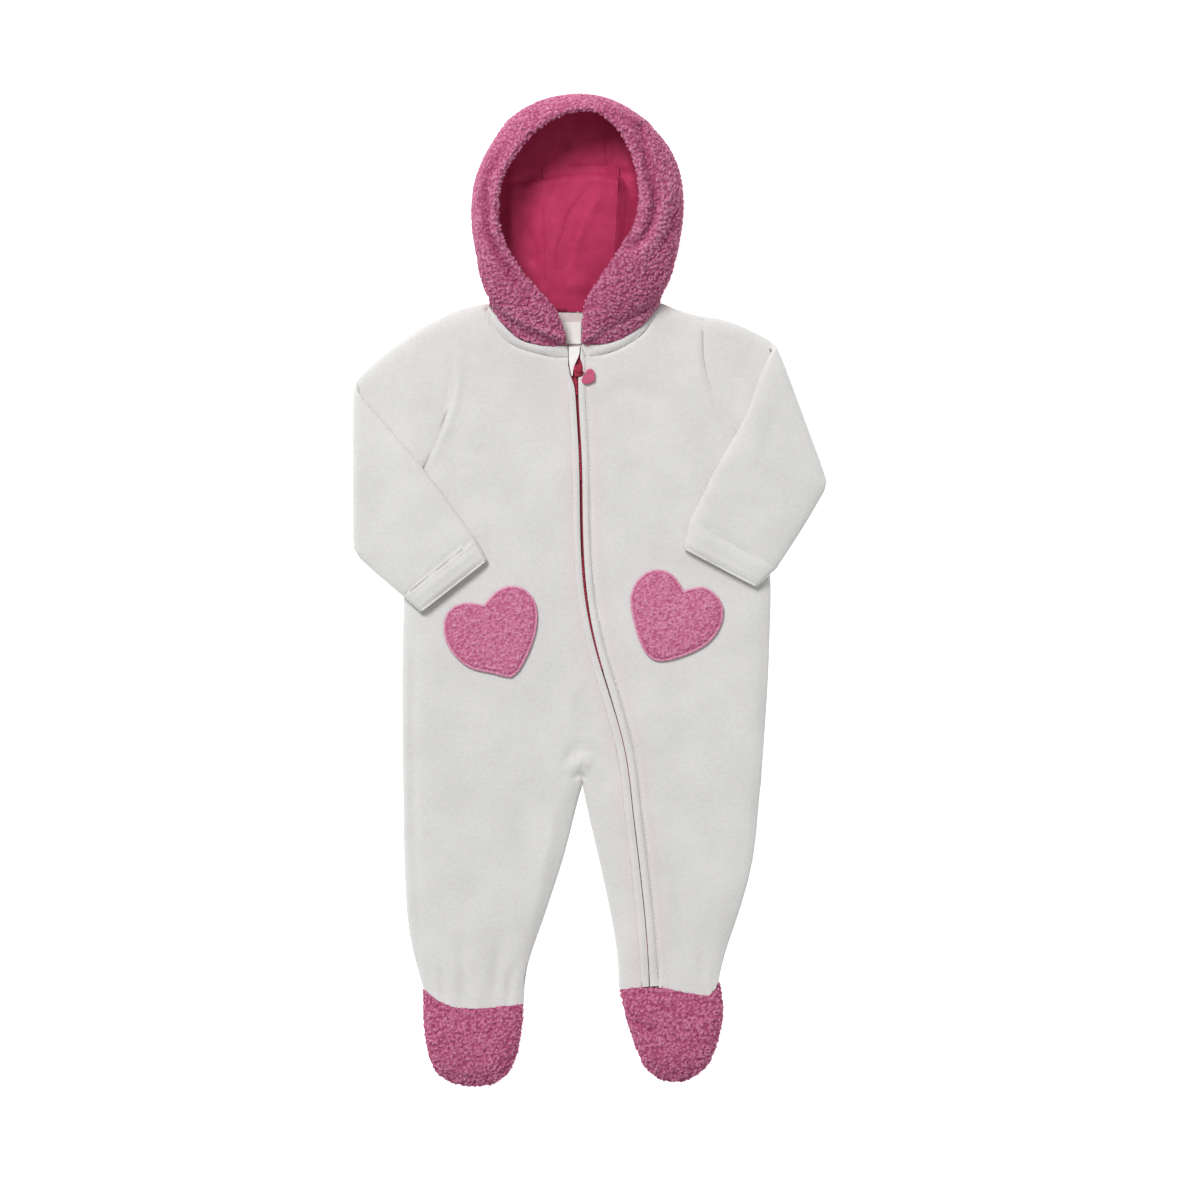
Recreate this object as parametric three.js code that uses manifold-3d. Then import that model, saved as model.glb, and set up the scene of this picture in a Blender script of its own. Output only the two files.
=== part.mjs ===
// A hooded, footed baby sleepsuit with a zip, laid flat on its back with both sleeves folded in.
// Millimetres, +Z up, +Y towards the hood. The origin is on the surface below the middle of the suit.
// Right and left are the wearer's: the wearer's right is at -X.
import * as THREE from "three";
import Module from "manifold-3d";
import { mergeVertices } from "three/addons/utils/BufferGeometryUtils.js";

const wasm = await Module();
wasm.setup();

// Cloth and seams
const VELOUR = 2.4;
const SHERPA = 4.4;
const SHERPA_AT_SEAM = 2.8;
const JERSEY = 1.2;
const SEAM_GAP = 0.3;

// Heights of the flat body: the side seams, the top of the front, and both at a sleeve's fold
const SEAM_Z = 3.4;
const TOP_Z = 8.6;
const FOLD_SEAM_Z = 2.7;
const FOLD_TOP_Z = 5.4;
const FOLD_REACH = 44;
const FOLD_RADIUS = FOLD_TOP_Z + SEAM_GAP / 2;
const FRONT_ROLL = 13;
const BACK_ROLL = 4;
const FOREARM_H = 6.2;
const CUFF_H = 6.6;

// Feet
const FOOT_SEAM_Z = 4.6;
const FOOT_TOP_Z = 12;
const FOOT_ANKLE_Z = 9.4;
const FOOT_ROLL = 17;
const SOLE_ROLL = 7;

// Zip: half widths across from the line of the coil
const PANEL_EDGE = 7.0;
const ZIP_FOOT_Y = -301;
const TAPE_HALF = 8.4;
const TAPE_T = 0.8;

// Outline of the body, x and y of each point
const shoulderRight = [[-79, 218], [-98, 215], [-116, 206]];
const armTopRight = [[-116, 206], [-131, 198], [-152, 183], [-170, 168], [-181, 155]];
const underarmRight = [[-127, 92], [-154, 62], [-181, 30]];
const armholeRight = [[-116, 206], [-104, 183], [-104, 155], [-111, 128], [-127, 92]];
const sideRight = [
  [-127, 92], [-131, 69], [-139, 23], [-142, -15], [-143, -83],
  [-142, -159], [-141, -212], [-138, -258], [-133, -281], [-127, -302],
];
const ankleRight = [[-127, -302], [-114, -313], [-103, -317], [-76, -317], [-51, -314]];
const inseamRight = [
  [-6, -146], [-12, -167], [-19, -197], [-29, -228], [-39, -258], [-46, -276], [-51, -292], [-51, -314],
];
const inseamLeft = [[-6, -146], [-2, -167], [5, -197], [12, -228], [18, -258], [21, -277], [22, -303]];
const ankleLeft = [[22, -303], [38, -302], [57, -301], [76, -306], [92, -307], [97, -297]];
const sideLeft = [
  [121, 103], [127, 76], [133, 38], [137, 8], [136, -22], [135, -60], [133, -91],
  [130, -136], [127, -167], [124, -201], [117, -230], [108, -258], [101, -277], [97, -297],
];
const shoulderLeft = [[54, 218], [68, 212], [86, 208]];
const armTopLeft = [[86, 208], [100, 206], [114, 201], [142, 187]];
const underarmLeft = [[121, 103], [150, 94], [181, 82]];
const armholeLeft = [[86, 208], [85, 187], [87, 164], [95, 143], [110, 126], [121, 103]];
const necklineRight = [[-79, 218], [-73, 200], [-60, 187], [-48, 182], [-32, 178], [-17, 177]];
const necklineLeft = [[1, 178], [10, 179], [25, 185], [41, 196], [54, 218]];
const zipLine = [
  [-10.2, 187], [-10.4, 152], [-7.4, 95], [-6.8, 46], [-4.2, 0], [3.2, -41],
  [15.9, -83], [27.2, -125], [32.1, -167], [37.2, -209], [42.7, -262], [45, -301],
];
const centreBack = [[-4, 212], [-4, 145], [-5, -7], [-6, -146]];
const CREST_RIGHT = [-28, 177];

// Sleeve folds, and what lies beyond them, as the sleeves rest on the front
const foldRight = { top: [-181, 155], bottom: [-181, 30] };
const foldLeft = { top: [142, 187], bottom: [181, 82] };
const forearmInnerRight = [[-181, 155], [-127, 92], [-88, 39]];
const forearmOuterRight = [[-181, 30], [-161, 12], [-142, -4]];
const cuffEdgeRight = [[-79, 23], [-129, -16]];
const forearmInnerLeft = [[142, 187], [130, 168], [120, 134], [101, 103], [76, 53]];
const forearmOuterLeft = [[181, 82], [163, 51], [141, 17]];
const cuffEdgeLeft = [[71, 32], [126, 3]];

// Feet: the outline from the outer end of the ankle seam round the toes
const footRight = [
  [-127, -302], [-127, -326], [-124, -349], [-117, -367], [-103, -375], [-88, -377],
  [-73, -375], [-60, -364], [-55, -349], [-52, -330], [-51, -314],
];
const footLeft = [
  [22, -303], [25, -317], [35, -349], [45, -367], [62, -374], [77, -371], [89, -361],
  [97, -342], [101, -315], [97, -297],
];

// Heart patches: outline from the notch, clockwise as seen from above
const heartRight = [
  [-81, -11], [-71, 0], [-60, 4], [-48, 0], [-41, -11], [-41, -30], [-50, -54], [-59, -66],
  [-75, -63], [-92, -59], [-107, -45], [-112, -28], [-108, -15], [-95, -9],
];
const heartLeft = [
  [71, 0], [87, 3], [100, -9], [101, -22], [92, -38], [76, -48], [49, -54],
  [40, -45], [30, -7], [34, 6], [47, 16], [62, 13],
];

// Soft folds of the front: from and to are places, width is half across, height is negative for a trough
const frontFolds = [
  { from: [-134, -25], to: [-134, -190], width: 5, height: -0.9 },
  { from: [-27, -53], to: [-39, -114], width: 11, height: -1.2 },
  { from: [-52, -144], to: [-54, -220], width: 10, height: -1.1 },
  { from: [-10, -60], to: [-19, -114], width: 9, height: 1.0 },
  { from: [-28, -160], to: [-46, -266], width: 7, height: 0.9 },
  { from: [72, -98], to: [66, -142], width: 9, height: -1.1 },
  { from: [62, -208], to: [72, -266], width: 9, height: -0.9 },
  { from: [-48, 172], to: [-16, 104], width: 16, height: -1.0 },
  { from: [18, 150], to: [60, 138], width: 12, height: -0.9 },
  { from: [-20, -128], to: [7, -128], width: 4, height: -0.8 },
  { from: [-98, -262], to: [-90, -300], width: 6, height: -0.8 },
  { from: [-69, -266], to: [-73, -304], width: 6, height: -0.8 },
];
// Gathers into the ankle seams
const ankleGathers = [
  { from: [-113, -290], to: [-114, -312], width: 3, height: -0.7 },
  { from: [-100, -288], to: [-99, -316], width: 3, height: -0.8 },
  { from: [-86, -292], to: [-87, -316], width: 3, height: -0.7 },
  { from: [-62, -290], to: [-63, -315], width: 3, height: -0.7 },
  { from: [58, -280], to: [60, -300], width: 3, height: -0.6 },
  { from: [76, -282], to: [78, -304], width: 3, height: -0.7 },
  { from: [88, -280], to: [89, -304], width: 3, height: -0.6 },
];
const forearmFolds = [
  { from: [-160, 100], to: [-164, 62], width: 7, height: -0.9 },
  { from: [138, 133], to: [146, 98], width: 7, height: -0.9 },
  { from: [-128, 60], to: [-112, 40], width: 6, height: -0.7 },
];

// Hood stations, from the wearer's right front corner over the crown to the left one. Each has the mouth's
// rim, the widest point of the side, the neck seam, and how far the wall turns under to lie flat, 0 to 1.
const hoodStations = [
  { rim: [-18, 191, 14], side: [-20, 188, 12.5], neck: [-18, 186, 9.4], under: 0 },
  { rim: [-25.5, 213, 20], side: [-36, 196, 16.5], neck: [-34.5, 186, 9.4], under: 0 },
  { rim: [-41.5, 231, 27], side: [-60.5, 207, 19], neck: [-53.5, 190.5, 9.2], under: 0 },
  { rim: [-56.5, 250, 32], side: [-80, 227, 19], neck: [-68, 204, 9.3], under: 0 },
  { rim: [-66.5, 269.5, 37], side: [-87, 257, 20.5], neck: [-76.5, 217, 5.4], under: 0.5 },
  { rim: [-69.5, 292, 41], side: [-91, 288, 22], neck: [-62.5, 214, 0], under: 1 },
  { rim: [-63.5, 322, 46], side: [-84, 325, 24], neck: [-50.5, 213, 0], under: 1 },
  { rim: [-34, 354.5, 50], side: [-53.5, 366, 26], neck: [-37, 212.5, 0], under: 1 },
  { rim: [-2.5, 365, 52], side: [-5.5, 378, 28], neck: [-9.5, 212, 0], under: 1 },
  { rim: [18, 353, 51], side: [33, 364.5, 27], neck: [15.5, 212.5, 0], under: 1 },
  { rim: [32, 328.5, 48], side: [63.5, 332.5, 25], neck: [31.5, 213, 0], under: 1 },
  { rim: [37, 300, 45], side: [71, 297, 24], neck: [42, 214.5, 0], under: 1 },
  { rim: [31.5, 275.5, 41], side: [68, 268, 22], neck: [52.5, 217.5, 5.4], under: 0.5 },
  { rim: [18, 255.5, 36], side: [59, 233, 20], neck: [45, 207, 9.3], under: 0 },
  { rim: [5.5, 236.5, 29], side: [40, 214.5, 19], neck: [31.5, 195.5, 9.2], under: 0 },
  { rim: [-5.5, 217.5, 20], side: [13.5, 201, 16.5], neck: [13.5, 187.5, 9.4], under: 0 },
  { rim: [-6.5, 191, 14], side: [-5.5, 188.5, 12.5], neck: [-6.5, 186.5, 9.4], under: 0 },
];
const GUSSET_RIGHT = 0.42;
const GUSSET_LEFT = 0.58;
const LINING_GUSSET_RIGHT = 0.446;
const LINING_GUSSET_LEFT = 0.5625;
const LINING_GAP = 0.8;
const BACK_NECK_RIGHT = 0.25;
const BACK_NECK_LEFT = 0.75;
const BAND_END = 0.19;
const BAND_START = 0.3;
const LINING_END = 0.27;
const CORNER_TURN = 12;
// The lining of the back stands off the hood below its fold line
const liningLift = { height: 9, x: [-46, 34], y: [222, 317], soft: 16, fold: 5 };

// Edges of the zip's welts near the slider, across from the line of the coil
const weltTopRight = [
  { y: 170.4, inner: 6.2, outer: 6.7 },
  { y: 166.5, inner: 5.3, outer: 6.7 },
  { y: 163, inner: 4.7, outer: 6.7 },
  { y: 161.6, inner: 3.9, outer: 6.7 },
  { y: 156, inner: 1.9, outer: 6.7 },
  { y: 149, inner: 1.2, outer: 6.7 },
];
const weltTopLeft = [
  { y: 185.2, inner: 2.9, outer: 3.7 },
  { y: 178, inner: 2.5, outer: 6.6 },
  { y: 176.4, inner: 2.3, outer: 6.7 },
  { y: 172.6, inner: 4.2, outer: 6.7 },
  { y: 168, inner: 4.8, outer: 6.7 },
  { y: 163.2, inner: 4.6, outer: 6.7 },
  { y: 162, inner: 1.3, outer: 6.7 },
  { y: 150, inner: 1.1, outer: 6.7 },
];

// Zip furniture
const GUARD_LOW = 6.7;
const GUARD_HIGH = 8.9;
const slider = { at: [-9.7, 167.3], width: 6, length: 9, height: 3.5 };
const bridge = { width: 1.6, span: 5.2, rise: 2.6, wall: 0.9 };
const pull = { direction: [0.857, -0.515], link: 5.2, wire: 0.9, length: 9.2, width: 11.8, thickness: 1.8 };

// Short vector and curve helpers
const v2 = (x, y) => new THREE.Vector2(x, y);
const v3 = (x, y, z = 0) => new THREE.Vector3(x, y, z);
const clamp = (x, low = 0, high = 1) => Math.min(high, Math.max(low, x));
const mix = (a, b, t) => a + (b - a) * t;
const ease = (x) => {
  const t = clamp(x);
  return t * t * (3 - 2 * t);
};
const quarter = (k) => Math.sqrt(1 - (1 - clamp(k)) ** 2);

function smoothLine(points) {
  const knots = points.map(([x, y, z = 0]) => v3(x, y, z));
  return new THREE.CatmullRomCurve3(knots, false, "centripetal");
}

// Places along a smooth line through the points, at shares of its length
function along(points, shares) {
  const line = smoothLine(points);
  return shares.map((s) => {
    const p = line.getPointAt(clamp(s));
    return v2(p.x, p.y);
  });
}

// Shares of a length that lie close together near one or both ends
function shares(length, startSteps, middle, endSteps) {
  const first = startSteps.map((mm) => mm / length);
  const last = endSteps.map((mm) => 1 - mm / length).reverse();
  const from = first.length ? first[first.length - 1] : 0;
  const to = last.length ? last[0] : 1;
  const out = [...first];
  for (let i = 1; i < middle; i += 1) {
    out.push(mix(from, to, i / middle));
  }
  if (!first.length) {
    out.unshift(0);
  }
  out.push(...last);
  if (!last.length) {
    out.push(1);
  }
  return out;
}

const even = (count) => Array.from({ length: count + 1 }, (_, i) => i / count);
const lengthOf = (points) => smoothLine(points).getLength();

// Rows of plan points that fill four edges, all given from left to right or from top to bottom. The corners
// are those of the top and bottom edges.
function fill(top, bottom, leftEdge, rightEdge) {
  const columns = top.length - 1;
  const rows = leftEdge.length - 1;
  const left = [top[0], ...leftEdge.slice(1, -1), bottom[0]];
  const right = [top[columns], ...rightEdge.slice(1, -1), bottom[columns]];
  const share = (points) => {
    const sums = [0];
    points.slice(1).forEach((p, i) => sums.push(sums[i] + p.distanceTo(points[i])));
    return sums.map((s) => s / sums[sums.length - 1]);
  };
  const topShare = share(top);
  const bottomShare = share(bottom);
  const leftShare = share(left);
  const rightShare = share(right);
  return left.map((_, j) => top.map((__, i) => {
    const v = mix(leftShare[j], rightShare[j], i / columns);
    const u = mix(topShare[i], bottomShare[i], j / rows);
    const across = left[j].clone().lerp(right[j], u);
    const down = top[i].clone().lerp(bottom[i], v);
    const upper = top[0].clone().lerp(top[columns], u);
    const lower = bottom[0].clone().lerp(bottom[columns], u);
    return across.add(down).sub(upper.lerp(lower, v));
  }));
}

// Half a seam's gap, or more, taken off the named edges of a patch of rows, square to the edge. A point at
// a seam keeps the direction away from it.
function openSeams(rows, edges, by = SEAM_GAP / 2) {
  const last = rows.length - 1;
  const end = rows[0].length - 1;
  const pairs = {
    left: () => rows.map((row) => [row[0], row[1]]),
    right: () => rows.map((row) => [row[end], row[end - 1]]),
    top: () => rows[0].map((p, i) => [p, rows[1][i]]),
    bottom: () => rows[last].map((p, i) => [p, rows[last - 1][i]]),
  };
  edges.forEach((edge) => {
    const list = pairs[edge]();
    const ways = list.map(([p, next], i) => {
      const before = list[Math.max(i - 1, 0)][0];
      const after = list[Math.min(i + 1, list.length - 1)][0];
      const seam = after.clone().sub(before).normalize();
      const way = next.clone().sub(p);
      return way.addScaledVector(seam, -way.dot(seam)).normalize();
    });
    list.forEach(([p], i) => {
      p.addScaledVector(ways[i], by);
      p.away = ways[i];
    });
  });
  return rows;
}

// Distance from a place to the nearest of some lines
const asPolyline = (points, count = 60) => along(points, even(count));
function distanceTo(lines, x, y) {
  let best = Infinity;
  for (const line of lines) {
    for (let i = 1; i < line.length; i += 1) {
      const a = line[i - 1];
      const dx = line[i].x - a.x;
      const dy = line[i].y - a.y;
      const t = clamp(((x - a.x) * dx + (y - a.y) * dy) / (dx * dx + dy * dy || 1));
      best = Math.min(best, Math.hypot(x - a.x - t * dx, y - a.y - t * dy));
    }
  }
  return best;
}

// Height of the soft folds at a place
function relief(folds, x, y) {
  let sum = 0;
  for (const { from, to, width, height } of folds) {
    const dx = to[0] - from[0];
    const dy = to[1] - from[1];
    const length = Math.hypot(dx, dy);
    const t = ((x - from[0]) * dx + (y - from[1]) * dy) / (length * length);
    const off = Math.abs((x - from[0]) * dy - (y - from[1]) * dx) / length;
    const fade = ease((t + 0.2) / 0.4) * ease((1.2 - t) / 0.4);
    sum += height * fade * Math.exp(-((off / width) ** 2));
  }
  return sum;
}

// Distance inwards from a sleeve's fold
function fromFold({ top, bottom }, x, y) {
  const dx = bottom[0] - top[0];
  const dy = bottom[1] - top[1];
  const side = Math.sign(dy * top[0] - dx * top[1]) || 1;
  return side * ((x - top[0]) * -dy + (y - top[1]) * dx) / Math.hypot(dx, dy);
}
const nearFold = (x, y) => Math.min(
  Math.abs(fromFold(foldRight, x, y)),
  x > 0 ? Math.abs(fromFold(foldLeft, x, y)) : Infinity,
);

// The flat body: top of the front without its rolled edges, the seams, the front and the back
const bodyEdges = [
  shoulderRight, armTopRight, underarmRight, sideRight, inseamRight,
  inseamLeft, sideLeft, shoulderLeft, armTopLeft, underarmLeft,
].map((points) => asPolyline(points));
const restTop = (x, y) => mix(FOLD_TOP_Z, TOP_Z, ease((nearFold(x, y) - FOLD_RADIUS) / FOLD_REACH));
const seamZ = (x, y) => mix(FOLD_SEAM_Z, SEAM_Z, ease((nearFold(x, y) - FOLD_RADIUS) / FOLD_REACH));
function frontTop(x, y) {
  const d = distanceTo(bodyEdges, x, y);
  const seam = seamZ(x, y) + SEAM_GAP / 2;
  const folds = relief(frontFolds, x, y) + relief(ankleGathers, x, y);
  return seam + (restTop(x, y) - seam) * quarter(d / FRONT_ROLL) + folds * ease((d - 1) / 8);
}
function backBottom(x, y) {
  const d = distanceTo(bodyEdges, x, y);
  return (seamZ(x, y) - SEAM_GAP / 2) * (1 - quarter(d / BACK_ROLL));
}

// A closed geometry from points and triangles, its faces turned outwards
function solid(points, triangles) {
  let volume = 0;
  for (const [a, b, c] of triangles) {
    volume += points[a].dot(points[b].clone().cross(points[c]));
  }
  const index = triangles.flatMap(([a, b, c]) => (volume < 0 ? [a, c, b] : [a, b, c]));
  const geometry = new THREE.BufferGeometry();
  geometry.setAttribute("position", new THREE.Float32BufferAttribute(points.flatMap((p) => p.toArray()), 3));
  geometry.setIndex(index);
  geometry.computeVertexNormals();
  return geometry;
}

// A wall of cloth from patches of rows of outer points. inner gives the inner point for an outer point and
// its normal, which comes from the faces, or from the point itself where it has one.
function clothWall(patches, facing, inner) {
  const points = [];
  const known = new Map();
  const triangles = [];
  const indexOf = (p) => {
    const key = `${p.x.toFixed(3)},${p.y.toFixed(3)},${p.z.toFixed(3)}`;
    if (!known.has(key)) {
      known.set(key, points.length);
      points.push(p);
    }
    return known.get(key);
  };
  for (const rows of patches) {
    for (let j = 1; j < rows.length; j += 1) {
      for (let i = 1; i < rows[j].length; i += 1) {
        const [a, b] = [indexOf(rows[j - 1][i - 1]), indexOf(rows[j][i - 1])];
        const [c, d] = [indexOf(rows[j][i]), indexOf(rows[j - 1][i])];
        const faces = facing > 0 ? [[a, b, c], [a, c, d]] : [[a, c, b], [a, d, c]];
        triangles.push(...faces.filter(([p, q, r]) => p !== q && q !== r && r !== p));
      }
    }
  }
  const normals = points.map(() => v3(0, 0, 0));
  for (const [a, b, c] of triangles) {
    const n = points[b].clone().sub(points[a]).cross(points[c].clone().sub(points[a]));
    [a, b, c].forEach((k) => normals[k].add(n));
  }
  const count = points.length;
  const all = [...points, ...points.map((p, k) => inner(p, (p.normal || normals[k]).clone().normalize()))];
  const faces = [];
  const open = new Map();
  for (const [a, b, c] of triangles) {
    faces.push([a, b, c], [a + count, c + count, b + count]);
    [[a, b], [b, c], [c, a]].forEach(([p, q]) => {
      if (open.has(`${q},${p}`)) {
        open.delete(`${q},${p}`);
      } else {
        open.set(`${p},${q}`, [p, q]);
      }
    });
  }
  open.forEach(([p, q]) => {
    // The shorter diagonal, so that two pieces that meet are cut alike
    const [pIn, qIn] = [p + count, q + count];
    if (all[q].distanceTo(all[pIn]) < all[p].distanceTo(all[qIn])) {
      faces.push([q, p, pIn], [q, pIn, qIn]);
    } else {
      faces.push([q, p, qIn], [p, pIn, qIn]);
    }
  });
  return solid(all, faces);
}

// A tube of cloth from rings, each with an outer and an inner loop of as many points
function clothTube(rings) {
  const size = rings[0].outer.length;
  const points = rings.flatMap(({ outer, inner }) => [...outer, ...inner]);
  const at = (ring, side, k) => (ring * 2 + side) * size + (k % size);
  const faces = [];
  const quad = (a, b, c, d) => faces.push([a, b, c], [a, c, d]);
  const last = rings.length - 1;
  for (let k = 0; k < size; k += 1) {
    for (let r = 0; r < last; r += 1) {
      quad(at(r, 0, k), at(r, 0, k + 1), at(r + 1, 0, k + 1), at(r + 1, 0, k));
      quad(at(r, 1, k), at(r + 1, 1, k), at(r + 1, 1, k + 1), at(r, 1, k + 1));
    }
    quad(at(0, 0, k), at(0, 1, k), at(0, 1, k + 1), at(0, 0, k + 1));
    quad(at(last, 0, k), at(last, 0, k + 1), at(last, 1, k + 1), at(last, 1, k));
  }
  return solid(points, faces);
}

const lift = (rows, height) => rows.map((row) => row.map((p) => {
  const lifted = v3(p.x, p.y, height(p.x, p.y));
  lifted.away = p.away;
  return lifted;
}));
// The inner point of a wall. At a seam it moves only away from the seam.
const LEAST_STEP = 1.2;
const inwards = (thickness, low, high) => (p, n) => {
  const q = p.clone().addScaledVector(n, -thickness);
  if (p.away) {
    const step = (q.x - p.x) * p.away.x + (q.y - p.y) * p.away.y;
    const kept = Math.max(step, LEAST_STEP * (1 - Math.abs(n.z)));
    q.x = p.x + p.away.x * kept;
    q.y = p.y + p.away.y * kept;
  }
  q.z = clamp(q.z, low(q.x, q.y), high(q.x, q.y));
  return q;
};
const frontInner = inwards(VELOUR, (x, y) => seamZ(x, y) + SEAM_GAP / 2, () => Infinity);
const backInner = inwards(VELOUR, () => -Infinity, (x, y) => seamZ(x, y) - SEAM_GAP / 2);

// The suit and its sub-parts
const suit = new THREE.Group();
function add(name, geometry, colour, roughness, metalness = 0) {
  const material = new THREE.MeshStandardMaterial({ color: colour, roughness, metalness });
  const mesh = new THREE.Mesh(geometry, material);
  mesh.name = name;
  suit.add(mesh);
  return mesh;
}
const CREAM = 0xefece6;
const PINK = 0xd0719c;
const LINING_PINK = 0xd23c68;
const CRIMSON = 0xa8243f;
const WHITE = 0xf4f4f2;
const ENAMEL_PINK = 0xc45a7a;

// A place beside the zip's line at a share of its length
const zipCurve = smoothLine(zipLine);
function besideZip(share, offset) {
  const p = zipCurve.getPointAt(share);
  const t = zipCurve.getTangentAt(share);
  return v2(p.x - t.y * offset, p.y + t.x * offset);
}
// The share of the zip's line at which it passes a height y
function zipShare(y) {
  let low = 0;
  let high = 1;
  for (let i = 0; i < 30; i += 1) {
    const middle = (low + high) / 2;
    if (zipCurve.getPointAt(middle).y > y) {
      low = middle;
    } else {
      high = middle;
    }
  }
  return low;
}
const zipEdge = (fromY, toY, offset, steps) => steps.map(
  (s) => besideZip(mix(zipShare(fromY), zipShare(toY), s), offset),
);

// Steps in mm from an edge that rolls over
const ROLL_STEPS = [0, 1, 3, 7, 13];
const BACK_STEPS = [0, 0.8, 2.4, 5];
const CHEST_RIGHT = 92;
const CHEST_LEFT = 103;
const CROTCH_Y = -146;
const crotch = v2(-6, CROTCH_Y);

const straight = (a, b, steps) => steps.map((s) => v2(mix(a.x, b.x, s), mix(a.y, b.y, s)));
const cutBelow = (points, y) => along(points, even(80)).filter((p) => p.y <= y).map((p) => [p.x, p.y]);
const cutAbove = (points, y) => along(points, even(80)).filter((p) => p.y >= y).map((p) => [p.x, p.y]);

// Columns from the side, over the middle of the leg, to the inseam
const legColumns = (width, middle) => shares(width, ROLL_STEPS, middle, ROLL_STEPS);
// Steps across a sleeve, which the armholes share
const ACROSS = [0, 0.02, 0.08, 0.28, 0.5, 0.72, 0.92, 0.98, 1];

// Edges that two pieces share, from left to right
const LEG_MIDDLE = 6;
const zipSideSteps = shares(30, [0, 2, 7], 2, []);
const outerLegSteps = shares(128, [], 6, ROLL_STEPS);
const backSteps = shares(130, BACK_STEPS, 5, BACK_STEPS);
const neckRowRight = [
  ...along([...necklineRight.slice(0, 5), CREST_RIGHT], even(12)).slice(0, -1),
  ...straight(v2(...CREST_RIGHT), besideZip(zipShare(177), -PANEL_EDGE), zipSideSteps),
];
const neckRowLeft = [
  besideZip(zipShare(178), PANEL_EDGE),
  ...along([[-2, 178], ...necklineLeft.slice(1)], even(8)).slice(1),
];
const topRowRight = [...along([...shoulderRight].reverse(), even(2)).slice(0, -1), ...neckRowRight];
const topRowLeft = [...neckRowLeft, ...along(shoulderLeft, even(2)).slice(1)];
const ankleRowRight = along(ankleRight, legColumns(80, LEG_MIDDLE));
const stripRow = straight(v2(...ankleLeft[0]), besideZip(1, -PANEL_EDGE), zipSideSteps);
const outerAnkleRow = along([[52, -301.5], ...ankleLeft.slice(3)], outerLegSteps);

function frontRight() {
  const near = legColumns(134, LEG_MIDDLE);
  const inner = zipSideSteps;
  const left = along(armholeRight, ACROSS);
  const rows = left.length - 1;
  const right = zipEdge(177, CHEST_RIGHT, -PANEL_EDGE, ACROSS);
  const chestEnd = right[rows];
  const chestMiddle = v2(-22, CHEST_RIGHT + 0.5);
  const chest = [...straight(left[rows], chestMiddle, near), ...straight(chestMiddle, chestEnd, inner).slice(1)];
  const yoke = openSeams(fill(topRowRight, chest, left, right), ["left", "top"]);
  const side = sideRight;
  const bellyRows = [...even(8).map((s) => s * 0.9), 0.95, 0.985, 1];
  const upperSide = cutAbove(side, CROTCH_Y);
  const hem = besideZip(zipShare(CROTCH_Y), -PANEL_EDGE);
  const hip = v2(upperSide[upperSide.length - 1][0], CROTCH_Y);
  const crotchRow = [...straight(hip, crotch, near), ...straight(crotch, hem, inner).slice(1)];
  const belly = fill(
    yoke[rows],
    crotchRow,
    along([...upperSide, [hip.x, hip.y]], bellyRows),
    zipEdge(CHEST_RIGHT, CROTCH_Y, -PANEL_EDGE, bellyRows),
  );
  const legRows = [0, 0.02, 0.06, ...even(8).slice(1)];
  const split = near.length;
  const leg = fill(
    crotchRow.slice(0, split),
    ankleRowRight,
    along([[hip.x, hip.y], ...cutBelow(side, CROTCH_Y)], legRows),
    along(inseamRight, legRows),
  );
  openSeams(leg, ["bottom"]);
  const strip = fill(
    crotchRow.slice(split - 1),
    stripRow,
    along(inseamLeft, legRows),
    zipEdge(CROTCH_Y, ZIP_FOOT_Y, -PANEL_EDGE, legRows),
  );
  openSeams(strip, ["bottom"]);
  return clothWall([yoke, belly, leg, strip].map((p) => lift(p, frontTop)), 1, frontInner);
}

function frontLeft() {
  const right = along(armholeLeft, ACROSS);
  const rows = right.length - 1;
  const left = zipEdge(178, CHEST_LEFT, PANEL_EDGE, ACROSS);
  const chest = straight(left[rows], right[rows], outerLegSteps);
  const yoke = openSeams(fill(topRowLeft, chest, left, right), ["right", "top"]);
  const legRows = even(18);
  const zipSide = zipEdge(CHEST_LEFT, ZIP_FOOT_Y, PANEL_EDGE, legRows);
  const lower = fill(yoke[rows], outerAnkleRow, zipSide, along(sideLeft, legRows));
  openSeams(lower, ["bottom"]);
  return clothWall([yoke, lower].map((p) => lift(p, frontTop)), 1, frontInner);
}

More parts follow.
